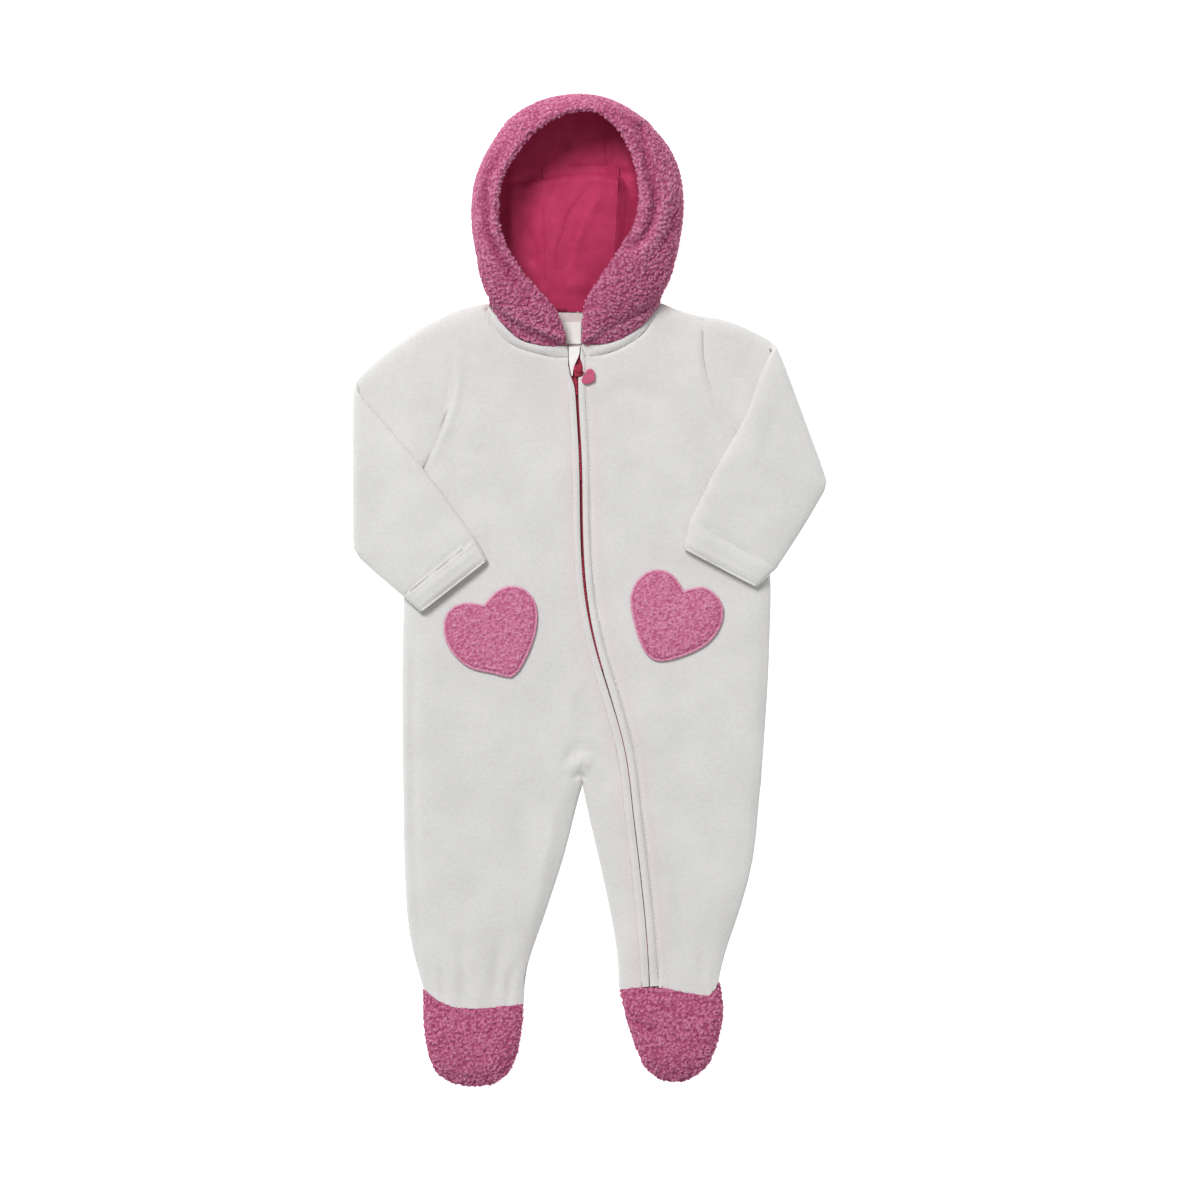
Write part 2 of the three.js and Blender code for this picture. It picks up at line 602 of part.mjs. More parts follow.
// The hood's surface. u runs from corner to corner over the crown, v from the rim over the side and under
// to the neck seam.
const stationCurve = (key) => {
  const knots = hoodStations.map((s) => v3(...s[key]));
  return new THREE.CatmullRomCurve3(knots, false, "catmullrom", 0.5);
};
const hoodRim = stationCurve("rim");
const hoodSide = stationCurve("side");
const hoodNeck = stationCurve("neck");
const underCurve = new THREE.CatmullRomCurve3(hoodStations.map((s, i) => v3(i, s.under, 0)));
const bezier = (a, b, c, d, t) => {
  const s = 1 - t;
  return a.clone().multiplyScalar(s * s * s)
    .addScaledVector(b, 3 * s * s * t)
    .addScaledVector(c, 3 * s * t * t)
    .addScaledVector(d, t * t * t);
};
const SIDE_V = 0.42;
const UNDER_V = 0.7;
function hoodPoint(u, v) {
  const rim = hoodRim.getPoint(clamp(u));
  const side = hoodSide.getPoint(clamp(u));
  const neck = hoodNeck.getPoint(clamp(u));
  neck.z = Math.max(neck.z, 0);
  const under = clamp(underCurve.getPoint(clamp(u)).y);
  const out = v3(side.x - rim.x, side.y - rim.y, 0).normalize();
  const drop = side.z - neck.z;
  const front = side.clone().lerp(neck, 0.5).setZ(neck.z + 0.25 * drop);
  const floor = side.clone().addScaledVector(out, -CORNER_TURN).setZ(0);
  const turn = front.lerp(floor, under);
  let p;
  if (v < SIDE_V) {
    const reach = Math.min(6, 0.35 * Math.hypot(side.x - rim.x, side.y - rim.y));
    const up = v3(rim.x, rim.y, rim.z + 1.3 * reach).addScaledVector(out, reach);
    const over = v3(side.x, side.y, side.z + 0.7 * (rim.z - side.z));
    p = bezier(rim, up, over, side, v / SIDE_V);
  } else if (v < UNDER_V) {
    const below = v3(side.x, side.y, mix(side.z, turn.z, 0.55));
    const flat = turn.clone().addScaledVector(v3(side.x - turn.x, side.y - turn.y, 0), 0.55);
    p = bezier(side, below, flat, turn, (v - SIDE_V) / (UNDER_V - SIDE_V));
  } else {
    p = turn.clone().lerp(neck, (v - UNDER_V) / (1 - UNDER_V));
  }
  p.z = Math.max(p.z, 0);
  return p;
}
function hoodNormal(u, v) {
  const step = 0.004;
  const du = hoodPoint(Math.min(u + step, 1), v).sub(hoodPoint(Math.max(u - step, 0), v));
  const dv = hoodPoint(u, Math.min(v + step, 1)).sub(hoodPoint(u, Math.max(v - step, 0)));
  return du.cross(dv).normalize();
}
const seamTaper = (u, v) => ease((1 - v) / 0.16) * ease(u / 0.1) * ease((1 - u) / 0.1);
const hoodThickness = (u, v) => mix(SHERPA_AT_SEAM, SHERPA, seamTaper(u, v));
function liningRise(p) {
  const { height, x, y, soft, fold } = liningLift;
  const across = ease((p.x - x[0]) / soft) * ease((x[1] - p.x) / soft);
  return height * across * ease((p.y - y[0]) / (2 * soft)) * ease((y[1] - p.y) / fold);
}

// Rows of a hood piece. depth says how far inside the hood's outer face a point lies.
function hoodRows(us, vs, depth, rise) {
  return vs.map((v) => us.map((u) => {
    const n = hoodNormal(u, v);
    const p = hoodPoint(u, v).addScaledVector(n, -depth(u, v));
    if (rise && v > UNDER_V - 0.05) {
      p.z += liningRise(p);
    }
    p.normal = n;
    p.place = { u, v };
    return p;
  }));
}
const range = (from, to, count) => even(count).map((s) => mix(from, to, s));
const HOOD_V = [
  ...range(0, SIDE_V, 5), ...range(SIDE_V, UNDER_V, 4).slice(1), 0.75, 0.783, 0.797, 0.84, 0.9, 0.95, 1,
];
const HOOD_U = {
  right: [...range(0, BACK_NECK_RIGHT, 9), ...range(BACK_NECK_RIGHT, GUSSET_RIGHT, 5).slice(1)],
  centre: range(GUSSET_RIGHT, GUSSET_LEFT, 6),
  left: [...range(GUSSET_LEFT, BACK_NECK_LEFT, 5), ...range(BACK_NECK_LEFT, 1, 9).slice(1)],
};
function hoodPiece(us) {
  const rows = hoodRows(us, HOOD_V, () => 0, false);
  openSeams(rows, ["left", "right", "bottom"]);
  return clothWall([rows], 1, (p, n) => p.clone().addScaledVector(n, -hoodThickness(p.place.u, p.place.v)));
}
function liningPiece(us) {
  const depth = (u, v) => hoodThickness(u, v) + LINING_GAP;
  const rows = hoodRows(us, HOOD_V, depth, true);
  openSeams(rows, ["left", "right", "bottom"]);
  return clothWall([rows], 1, (p, n) => p.clone().addScaledVector(n, -JERSEY));
}

// The neck seam of the hood at some of its steps
const neckSeam = (us) => us.map((u) => {
  const p = hoodNeck.getPoint(u);
  return v2(p.x, p.y);
});

function backPanel(mirror) {
  const turned = (rows) => (mirror ? rows.map((row) => [...row].reverse()) : rows);
  const shoulder = mirror ? shoulderLeft : shoulderRight;
  const armhole = mirror ? armholeLeft : armholeRight;
  const side = mirror ? sideLeft : sideRight;
  const inseam = mirror ? inseamLeft : inseamRight;
  const ankle = mirror ? ankleLeft : ankleRight;
  const chestY = mirror ? CHEST_LEFT : CHEST_RIGHT;
  const neck = neckSeam(mirror
    ? [...HOOD_U.centre.slice(3), ...HOOD_U.left.slice(1, 6)].reverse()
    : [...HOOD_U.right.slice(-6, -1), ...HOOD_U.centre.slice(0, 4)]);
  const columns = backSteps;
  const outer = along(armhole, ACROSS);
  const rows = outer.length - 1;
  const centre = asPolyline(centreBack, 60).map((p) => [p.x, p.y]);
  const upperCentre = centre.filter((p) => p[1] > chestY);
  const lowerCentre = centre.filter((p) => p[1] <= chestY);
  const meet = lowerCentre[0];
  const middle = along([...upperCentre, meet], ACROSS);
  const top = [...along([...shoulder].reverse(), even(2)), ...neck];
  const chest = straight(outer[rows], middle[rows], columns);
  const yoke = openSeams(fill(top, chest, outer, middle), ["left", "right", "top"]);
  const hip = cutAbove(side, CROTCH_Y);
  const hipEnd = [hip[hip.length - 1][0], CROTCH_Y];
  const bellyRows = [0, 0.25, 0.5, 0.75, 0.92, 0.98, 1];
  const crotchRow = straight(v2(...hipEnd), crotch, columns);
  const belly = fill(yoke[rows], crotchRow, along([...hip, hipEnd], bellyRows), along(lowerCentre, bellyRows));
  openSeams(belly.slice(1), ["right"]);
  const legRows = [0, 0.03, 0.1, 0.3, 0.5, 0.7, 0.85, 1];
  const inseamRows = along(inseam, legRows);
  inseamRows[0] = belly[belly.length - 1][columns.length - 1].clone();
  const leg = fill(
    belly[belly.length - 1],
    mirror ? along([...ankle].reverse(), columns) : along(ankle, columns),
    along([hipEnd, ...cutBelow(side, CROTCH_Y)], legRows),
    inseamRows,
  );
  openSeams(leg, ["bottom"], 0.35);
  const patches = [yoke, belly, leg].map((p) => lift(turned(p), backBottom));
  return clothWall(patches, -1, backInner);
}

// Sleeves: a flat tube from the armhole to its fold, over it, and back across the front to the cuff
function loop(place, height, mid, topRoll, bottomRoll, width) {
  // Outer and inner points of a flat tube's section: place gives a point for s across and h up
  const outer = [];
  const inner = [];
  const insetS = VELOUR / width;
  const level = (s, roll) => quarter(Math.min(s, 1 - s) * width / roll);
  ACROSS.forEach((s) => {
    const h = mid + (height - mid) * level(s, topRoll);
    outer.push(place(s, h));
    const t = mix(insetS, 1 - insetS, s);
    inner.push(place(t, s === 0 || s === 1 ? mid : Math.max(mid + 0.15, h - VELOUR)));
  });
  [...ACROSS].reverse().slice(1, -1).forEach((s) => {
    const h = mid - mid * level(s, bottomRoll);
    outer.push(place(s, h));
    const t = mix(insetS, 1 - insetS, s);
    inner.push(place(t, Math.min(mid - 0.15, h + VELOUR)));
  });
  return { outer, inner };
}

function untilFold(points, fold) {
  const line = along(points, even(120));
  const kept = line.filter((p) => Math.abs(fromFold(fold, p.x, p.y)) >= FOLD_RADIUS);
  return kept.map((p) => [p.x, p.y]);
}

function sleeve({ fold, armhole, armTop, underarm, inner, outer, cuffSeam }) {
  const rings = [];
  const halfGap = SEAM_GAP / 2;
  const upperRings = 5;
  const upperTop = along(untilFold(armTop, fold), even(upperRings));
  const upperBottom = along(untilFold(underarm, fold), even(upperRings));
  const start = along(armhole, ACROSS);
  const end = straight(upperTop[upperRings], upperBottom[upperRings], ACROSS);
  const upper = fill(upperTop, upperBottom, start, end);
  upper.forEach((row) => row[0].add(row[1].clone().sub(row[0]).setLength(halfGap)));
  const ringAt = (points) => (s) => {
    let i = 0;
    while (i < ACROSS.length - 2 && ACROSS[i + 1] < s) {
      i += 1;
    }
    const t = (s - ACROSS[i]) / (ACROSS[i + 1] - ACROSS[i]);
    return points[i].clone().lerp(points[i + 1], t);
  };
  const widthOf = (points) => points[0].distanceTo(points[points.length - 1]);
  for (let r = 0; r <= upperRings; r += 1) {
    const points = upper.map((row) => row[r]);
    const at = ringAt(points);
    const middle = points[4];
    const height = restTop(middle.x, middle.y);
    const mid = seamZ(middle.x, middle.y);
    const place = (s, h) => {
      const p = at(s);
      return v3(p.x, p.y, h);
    };
    rings.push(loop(place, height, mid, FRONT_ROLL, BACK_ROLL, widthOf(points)));
  }
  // Beyond the fold
  const lowerTop = untilFold(inner, fold);
  const lowerBottom = untilFold(outer, fold);
  const foldSteps = 6;
  const axisEnd = straight(v2(...lowerTop[0]), v2(...lowerBottom[0]), ACROSS);
  const outwards = v2(end[4].x, end[4].y);
  const normal = v2(fold.bottom[1] - fold.top[1], fold.top[0] - fold.bottom[0]).normalize();
  if (normal.dot(v2(fold.top[0], fold.top[1]).sub(outwards)) < 0) {
    normal.negate();
  }
  for (let k = 1; k < foldSteps; k += 1) {
    const angle = Math.PI * k / foldSteps;
    const points = end.map((p, i) => p.clone().lerp(axisEnd[i], k / foldSteps));
    const at = ringAt(points);
    const place = (s, h) => {
      const p = at(s).addScaledVector(normal, (FOLD_RADIUS - h) * Math.sin(angle));
      return v3(p.x, p.y, FOLD_RADIUS - (FOLD_RADIUS - h) * Math.cos(angle));
    };
    const roll = mix(FRONT_ROLL, BACK_ROLL, k / foldSteps);
    rings.push(loop(place, FOLD_TOP_Z, FOLD_SEAM_Z, roll, mix(BACK_ROLL, 9, k / foldSteps), widthOf(points)));
  }
  const lowerRings = 7;
  const lower = fill(
    along(lowerTop, even(lowerRings)),
    along(lowerBottom, even(lowerRings)),
    axisEnd,
    straight(v2(...cuffSeam[0]), v2(...cuffSeam[1]), ACROSS),
  );
  lower.forEach((row) => {
    row[lowerRings].add(row[lowerRings - 1].clone().sub(row[lowerRings]).setLength(halfGap));
  });
  for (let r = 0; r <= lowerRings; r += 1) {
    const points = lower.map((row) => row[r]);
    const at = ringAt(points);
    const share = r / lowerRings;
    const height = mix(FOLD_TOP_Z, FOREARM_H, ease(2 * share));
    const place = (s, h) => {
      const p = at(s);
      const visible = ease(Math.min(s, 1 - s) * 8) * clamp(1 - h / height);
      const base = restTop(p.x, p.y) + SEAM_GAP;
      return v3(p.x, p.y, base + height - h + visible * relief(forearmFolds, p.x, p.y));
    };
    rings.push(loop(place, height, height / 2, BACK_ROLL, 9, widthOf(points)));
  }
  return clothTube(rings);
}

function cuff(seam, edge) {
  const rings = [];
  const steps = 3;
  for (let r = 0; r <= steps; r += 1) {
    const t = r / steps;
    const a = v2(...seam[0]).lerp(v2(...edge[0]), t);
    const b = v2(...seam[1]).lerp(v2(...edge[1]), t);
    if (r === 0) {
      const down = v2(...edge[0]).sub(v2(...seam[0])).setLength(SEAM_GAP / 2);
      a.add(down);
      b.add(down);
    }
    const place = (s, h) => {
      const p = a.clone().lerp(b, s);
      return v3(p.x, p.y, restTop(p.x, p.y) + SEAM_GAP + CUFF_H - h);
    };
    rings.push(loop(place, CUFF_H, CUFF_H / 2, BACK_ROLL, 6, a.distanceTo(b)));
  }
  return clothTube(rings);
}

// Feet
function foot(outline, ankle, top, corner, isSole) {
  const line = along(outline, even(90)).map((p) => [p.x, p.y]);
  const [first, second] = corner;
  const left = along(line.slice(0, first + 1), even(6));
  const bottom = along(line.slice(first, second + 1), even(top.length - 1));
  const right = along(line.slice(second).reverse(), even(6));
  const rows = openSeams(fill(top, bottom, left, right), ["top"], 0.25);
  const rim = [along(outline, even(90))];
  const seam = asPolyline(ankle);
  const upper = (x, y) => {
    const d = distanceTo(rim, x, y);
    const height = mix(FOOT_ANKLE_Z, FOOT_TOP_Z, ease(distanceTo([seam], x, y) / 24));
    const low = mix(SEAM_Z, FOOT_SEAM_Z, ease(distanceTo([seam], x, y) / 12)) + SEAM_GAP / 2;
    return low + (height - low) * quarter(d / FOOT_ROLL);
  };
  const under = (x, y) => {
    const high = mix(SEAM_Z, FOOT_SEAM_Z, ease(distanceTo([seam], x, y) / 12)) - SEAM_GAP / 2;
    return high * (1 - quarter(distanceTo(rim, x, y) / SOLE_ROLL));
  };
  const level = (x, y) => mix(SEAM_Z, FOOT_SEAM_Z, ease(distanceTo([seam], x, y) / 12));
  if (isSole) {
    const inner = inwards(SHERPA - 0.6, () => -Infinity, (x, y) => level(x, y) - SEAM_GAP / 2);
    return clothWall([lift(rows, under)], -1, inner);
  }
  const inner = inwards(SHERPA - 0.6, (x, y) => level(x, y) + SEAM_GAP / 2, () => Infinity);
  return clothWall([lift(rows, upper)], 1, inner);
}

// Neck bands, between the body's neckline and the hood's front neck seam
function neckBand(outer, inner) {
  const rows = fill(outer, inner, [outer[0], outer[0].clone().lerp(inner[0], 0.5), inner[0]], [
    outer[outer.length - 1],
    outer[outer.length - 1].clone().lerp(inner[inner.length - 1], 0.5),
    inner[inner.length - 1],
  ]);
  openSeams(rows, ["top", "bottom"], 1.5 * SEAM_GAP);
  const lifted = lift(rows, frontTop);
  lifted.flat().forEach((p) => {
    p.normal = v3(0, 0, 1);
  });
  return clothWall([lifted], -1, frontInner);
}

// Strips beside the zip. Each row has offsets across and heights above the front's top.
function zipStrip(ys, offsets, heights, thickness) {
  const rows = ys.map((y, j) => offsets(y, j).map((offset, i) => {
    const p = besideZip(zipShare(y), offset);
    return v3(p.x, p.y, frontTop(p.x, p.y) + heights[i]);
  }));
  return clothWall([rows], 1, (p) => p.clone().setZ(p.z - thickness));
}

// A pad that follows the front, a little above it
function patch(outline) {
  const rim = along([...outline, outline[0]], even(30)).slice(0, -1);
  const centre = rim.reduce((sum, p) => sum.add(p), v2(0, 0)).multiplyScalar(1 / rim.length);
  const rings = [
    { scale: 1, low: 0.5, high: 1.7 },
    { scale: 0.94, low: 0.5, high: 2.6 },
    { scale: 0.6, low: 0.5, high: 3.2 },
  ];
  const points = [];
  const place = (p, scale, height) => {
    const q = centre.clone().lerp(p, scale);
    points.push(v3(q.x, q.y, frontTop(q.x, q.y) + height));
  };
  ["high", "low"].forEach((key) => rings.forEach((ring) => rim.forEach((p) => place(p, ring.scale, ring[key]))));
  place(centre, 0, 3.3);
  place(centre, 0, 0.5);
  const n = rim.length;
  const count = rings.length;
  const faces = [];
  const quad = (a, b, c, d) => faces.push([a, b, c], [a, c, d]);
  for (let i = 0; i < n; i += 1) {
    const k = (i + 1) % n;
    for (let r = 0; r < count - 1; r += 1) {
      quad(r * n + i, r * n + k, (r + 1) * n + k, (r + 1) * n + i);
      quad((count + r) * n + i, (count + r + 1) * n + i, (count + r + 1) * n + k, (count + r) * n + k);
    }
    quad(i, count * n + i, count * n + k, k);
    faces.push([(count - 1) * n + i, (count - 1) * n + k, 2 * count * n]);
    faces.push([(2 * count - 1) * n + i, 2 * count * n + 1, (2 * count - 1) * n + k]);
  }
  return solid(points, faces);
}

// An extruded plan outline between two heights
function plate(outline, low, high) {
  const shape = new THREE.Shape(outline.map(([x, y]) => v2(x, y)));
  const geometry = new THREE.ExtrudeGeometry(shape, { depth: high - low, bevelEnabled: false });
  return geometry.translate(0, 0, low);
}

function asManifold(geometry) {
  const bare = geometry.index ? geometry.toNonIndexed() : geometry.clone();
  bare.deleteAttribute("normal");
  bare.deleteAttribute("uv");
  const merged = mergeVertices(bare, 1e-4);
  return new wasm.Manifold(new wasm.Mesh({
    numProp: 3,
    vertProperties: new Float32Array(merged.attributes.position.array),
    triVerts: new Uint32Array(merged.index.array),
  }));
}
function fromManifold(manifold) {
  const mesh = manifold.getMesh();
  const geometry = new THREE.BufferGeometry();
  geometry.setAttribute("position", new THREE.BufferAttribute(mesh.vertProperties, 3));
  geometry.setIndex(new THREE.BufferAttribute(mesh.triVerts, 1));
  geometry.computeVertexNormals();
  return geometry;
}

// The slider sits on the coils, with a bridge over a tunnel for the pull's ring
const tapeTop = (x, y) => frontTop(x, y) - VELOUR - SEAM_GAP;
const sliderBase = tapeTop(...slider.at) + SEAM_GAP;
const sliderTop = sliderBase + slider.height;
const turnOfPull = Math.atan2(pull.direction[1], pull.direction[0]);
function sliderBody() {
  const half = slider.width / 2;
  const end = slider.length / 2;
  const outline = [
    [-half + 1, -end], [half - 1, -end], [half, -end + 1.5], [half, end - 2],
    [half - 1.5, end], [-half + 1.5, end], [-half, end - 2], [-half, -end + 1.5],
  ].map(([x, y]) => [x + slider.at[0], y + slider.at[1]]);
  return plate(outline, sliderBase, sliderTop);
}
function bridgeArch() {
  const { span, rise, wall, width } = bridge;
  const shape = new THREE.Shape();
  shape.moveTo(-span / 2, -0.5);
  shape.lineTo(-span / 2, rise - 1);
  shape.lineTo(-span / 2 + 1, rise);
  shape.lineTo(span / 2 - 1, rise);
  shape.lineTo(span / 2, rise - 1);
  shape.lineTo(span / 2, -0.5);
  shape.lineTo(span / 2 - wall, -0.5);
  shape.lineTo(span / 2 - wall, rise - wall - 0.4);
  shape.lineTo(span / 2 - wall - 0.5, rise - wall);
  shape.lineTo(-span / 2 + wall + 0.5, rise - wall);
  shape.lineTo(-span / 2 + wall, rise - wall - 0.4);
  shape.lineTo(-span / 2 + wall, -0.5);
  const arch = new THREE.ExtrudeGeometry(shape, { depth: width, bevelEnabled: false });
  arch.translate(0, 0, -width / 2);
  arch.rotateX(Math.PI / 2);
  arch.rotateZ(turnOfPull);
  return arch.translate(slider.at[0], slider.at[1], sliderTop);
}

// The pull's ring passes through the tunnel and through the tab, and lies down beside the slider
const hinge = v3(slider.at[0], slider.at[1], sliderTop + (bridge.rise - bridge.wall) / 2);
function ringOfPull() {
  const radius = pull.link / 2;
  const ring = new THREE.TorusGeometry(radius, pull.wire / 2, 6, 16);
  ring.scale(1, 0.62, 1);
  ring.translate(radius - 0.2, 0, 0);
  ring.rotateZ(turnOfPull);
  return ring.translate(hinge.x, hinge.y, hinge.z);
}
function tabOfPull() {
  const { length, width, thickness } = pull;
  const half = width / 2;
  const shape = new THREE.Shape();
  shape.moveTo(1.6, 0);
  shape.bezierCurveTo(0, half * 0.35, 0.2, half, length * 0.36, half);
  shape.bezierCurveTo(length * 0.66, half, length * 0.86, half * 0.4, length, 0);
  shape.bezierCurveTo(length * 0.86, -half * 0.4, length * 0.66, -half, length * 0.36, -half);
  shape.bezierCurveTo(0.2, -half, 0, -half * 0.35, 1.6, 0);
  const edge = 0.4;
  const depth = thickness - 2 * edge;
  const tab = new THREE.ExtrudeGeometry(shape, {
    depth, bevelEnabled: true, bevelThickness: edge, bevelSize: edge, bevelSegments: 1, curveSegments: 6,
  });
  tab.translate(pull.link + edge, 0, -depth / 2);
  tab.rotateZ(turnOfPull);
  return tab.translate(hinge.x, hinge.y, hinge.z);
}

// Body, sleeves and feet
add("back_right", backPanel(false), CREAM, 0.95);
add("back_left", backPanel(true), CREAM, 0.95);
add("front_right", frontRight(), CREAM, 0.95);
add("front_left", frontLeft(), CREAM, 0.95);
const cuffSeamRight = [forearmInnerRight[2], forearmOuterRight[2]];
const cuffSeamLeft = [forearmInnerLeft[4], forearmOuterLeft[2]];
add("sleeve_right", sleeve({
  fold: foldRight, armhole: armholeRight, armTop: armTopRight, underarm: underarmRight,
  inner: forearmInnerRight, outer: forearmOuterRight, cuffSeam: cuffSeamRight,
}), CREAM, 0.95);
add("sleeve_left", sleeve({
  fold: foldLeft, armhole: armholeLeft, armTop: armTopLeft, underarm: underarmLeft,
  inner: forearmInnerLeft, outer: forearmOuterLeft, cuffSeam: cuffSeamLeft,
}), CREAM, 0.95);
add("cuff_right", cuff(cuffSeamRight, cuffEdgeRight), CREAM, 0.95);
add("cuff_left", cuff(cuffSeamLeft, cuffEdgeLeft), CREAM, 0.95);
const soleRowRight = along(ankleRight, backSteps);
const soleRowLeft = along([...ankleLeft].reverse(), backSteps).reverse();
add("foot_top_right", foot(footRight, ankleRight, ankleRowRight, [30, 62], false), PINK, 1);
add("foot_top_left", foot(footLeft, ankleLeft, [...stripRow, ...outerAnkleRow], [28, 60], false), PINK, 1);
add("foot_sole_right", foot(footRight, ankleRight, soleRowRight, [30, 62], true), PINK, 1);
add("foot_sole_left", foot(footLeft, ankleLeft, soleRowLeft, [28, 60], true), PINK, 1);

// Neck and hood
const bandInner = (us, count) => along(neckSeam(us).map((p) => [p.x, p.y]), even(count - 1));
// A band starts a little way along its first step from the shoulder
const bandOuter = (row) => [row[0].clone().lerp(row[1], BAND_START), ...row.slice(1)];
add("neck_band_right", neckBand(
  bandOuter(neckRowRight),
  bandInner(range(BAND_END, 0, 10), neckRowRight.length),
), CREAM, 0.95);
add("neck_band_left", neckBand(
  bandOuter([...neckRowLeft].reverse()).reverse(),
  bandInner(range(1, 1 - BAND_END, 10), neckRowLeft.length),
), CREAM, 0.95);
add("hood_right", hoodPiece(HOOD_U.right), PINK, 1);
add("hood_centre", hoodPiece(HOOD_U.centre), PINK, 1);
add("hood_left", hoodPiece(HOOD_U.left), PINK, 1);
const liningRight = HOOD_U.right.filter((u) => u > LINING_END && u < GUSSET_RIGHT);
const liningLeft = HOOD_U.left.filter((u) => u > GUSSET_LEFT && u < 1 - LINING_END);
add("lining_right", liningPiece([...liningRight, GUSSET_RIGHT, LINING_GUSSET_RIGHT]), LINING_PINK, 0.85);
add("lining_centre", liningPiece(range(LINING_GUSSET_RIGHT, LINING_GUSSET_LEFT, 5)), LINING_PINK, 0.85);
add("lining_left", liningPiece([LINING_GUSSET_LEFT, GUSSET_LEFT, ...liningLeft]), LINING_PINK, 0.85);
const FACING_Z = VELOUR + SEAM_GAP;
add("neck_facing", plate([
  [-50, 211.5], [-50, 200], [-42, 176], [-26, 162], [-8, 157],
  [10, 161], [26, 174], [34, 198], [34, 211.5],
], FACING_Z, FACING_Z + 1), CREAM, 0.9);
add("label", plate([[-22, 187], [-7, 187], [-7, 204], [-22, 204]], FACING_Z + 1.3, FACING_Z + 1.7), WHITE, 0.5);

// Zip
const weltYs = range(140, ZIP_FOOT_Y, 20);
const zipGap = (y) => mix(0.3, 1.1, ease((y + 110) / 130));
const weltEdge = (y) => ({ y, inner: zipGap(y), outer: PANEL_EDGE - SEAM_GAP });
const weltRows = (top) => [...top, ...weltYs.map(weltEdge)];
function zipWelt(side, rows) {
  const offsets = (y, j) => {
    const { inner, outer } = rows[j];
    const across = [inner, mix(inner, outer, 0.5), outer].map((offset) => side * offset);
    return side > 0 ? across : across.reverse();
  };
  const heights = side > 0 ? [0.1, 0.7, -0.2] : [-0.2, 0.7, 0.1];
  return zipStrip(rows.map((row) => row.y), offsets, heights, 2.2);
}
add("zip_welt_right", zipWelt(-1, weltRows(weltTopRight)), CREAM, 0.95);
add("zip_welt_left", zipWelt(1, weltRows(weltTopLeft)), CREAM, 0.95);
const tapeYs = range(185, ZIP_FOOT_Y, 20);
const tapeDrop = -VELOUR - SEAM_GAP;
add("zip_tape_right", zipStrip(tapeYs, () => [-TAPE_HALF, -0.15], [tapeDrop, tapeDrop], TAPE_T), CRIMSON, 0.7);
add("zip_tape_left", zipStrip(tapeYs, () => [0.15, TAPE_HALF], [tapeDrop, tapeDrop], TAPE_T), CRIMSON, 0.7);
add("zip_guard", plate([
  [-16.6, 185.4], [-7.9, 185.4], [-8.3, 178.4], [-13.1, 170.6],
  [-13.6, 163.2], [-14.4, 163], [-16, 169.8], [-16.6, 176.4],
], GUARD_LOW, GUARD_HIGH), WHITE, 0.6);
add("zip_slider", fromManifold(asManifold(sliderBody()).add(asManifold(bridgeArch()))), CRIMSON, 0.35, 0.6);
add("pull_link", ringOfPull(), CRIMSON, 0.35, 0.6);
add("pull_heart", tabOfPull(), ENAMEL_PINK, 0.4, 0.3);

// Heart patches
add("heart_patch_right", patch(heartRight), PINK, 1);
add("heart_patch_left", patch(heartLeft), PINK, 1);

export default suit;
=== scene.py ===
import math
from collections import namedtuple

import bmesh
import bpy
import numpy as np
from mathutils import Matrix, Vector, noise
from mathutils.bvhtree import BVHTree


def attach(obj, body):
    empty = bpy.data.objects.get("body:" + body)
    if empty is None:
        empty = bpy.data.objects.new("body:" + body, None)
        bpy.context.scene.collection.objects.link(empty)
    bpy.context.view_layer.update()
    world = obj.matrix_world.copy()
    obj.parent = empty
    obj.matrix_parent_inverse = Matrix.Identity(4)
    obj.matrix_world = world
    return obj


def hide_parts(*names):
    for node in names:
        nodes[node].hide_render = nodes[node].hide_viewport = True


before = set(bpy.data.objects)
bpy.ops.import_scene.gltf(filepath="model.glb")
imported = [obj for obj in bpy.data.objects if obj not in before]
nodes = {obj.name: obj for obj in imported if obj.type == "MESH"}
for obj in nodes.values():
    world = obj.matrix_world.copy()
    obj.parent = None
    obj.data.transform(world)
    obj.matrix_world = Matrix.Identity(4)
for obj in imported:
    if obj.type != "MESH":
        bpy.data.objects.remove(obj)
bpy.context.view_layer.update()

MM = 0.001
FULL_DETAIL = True

# The noise that bends the curls starts from this seed, so that each run gives the same pile
NOISE_SEED = 11
noise.seed_set(NOISE_SEED)

# The photograph's frame: its side in pixels, and the real size of one pixel
IMAGE_SIDE = 1181
PIXEL_MM = 0.76

# Edges of a cut piece that are sharper than this keep their place and their shading
CREASE_ANGLE = math.radians(38)

# Without the full detail, the finest squares of each cloth are this many times as large
QUICK_COARSER = 1.6


# Places in the photograph, in mm from its middle
def spot(px, py):
    return ((px - IMAGE_SIDE / 2) * PIXEL_MM, (IMAGE_SIDE / 2 - py) * PIXEL_MM)


def spots(pixels):
    return [spot(px, py) for px, py in pixels]


# Colour and node helpers
def linear(code, alpha=1.0):
    parts = [int(code[i:i + 2], 16) / 255 for i in (1, 3, 5)]
    turned = [c / 12.92 if c <= 0.04045 else ((c + 0.055) / 1.055) ** 2.4 for c in parts]
    return (*turned, alpha)


def add_node(tree, kind, sockets=None, **settings):
    made = tree.nodes.new(kind)
    for name, value in settings.items():
        setattr(made, name, value)
    for key, value in (sockets or {}).items():
        if isinstance(value, bpy.types.NodeSocket):
            tree.links.new(value, made.inputs[key])
        else:
            made.inputs[key].default_value = value
    return made


def new_material(name):
    material = bpy.data.materials.new(name)
    material.use_nodes = True
    material.node_tree.nodes.clear()
    return material, material.node_tree


def finish_material(material, tree, shader):
    add_node(tree, "ShaderNodeOutputMaterial", {"Surface": shader.outputs[0]})
    material.use_fake_user = True
    return material


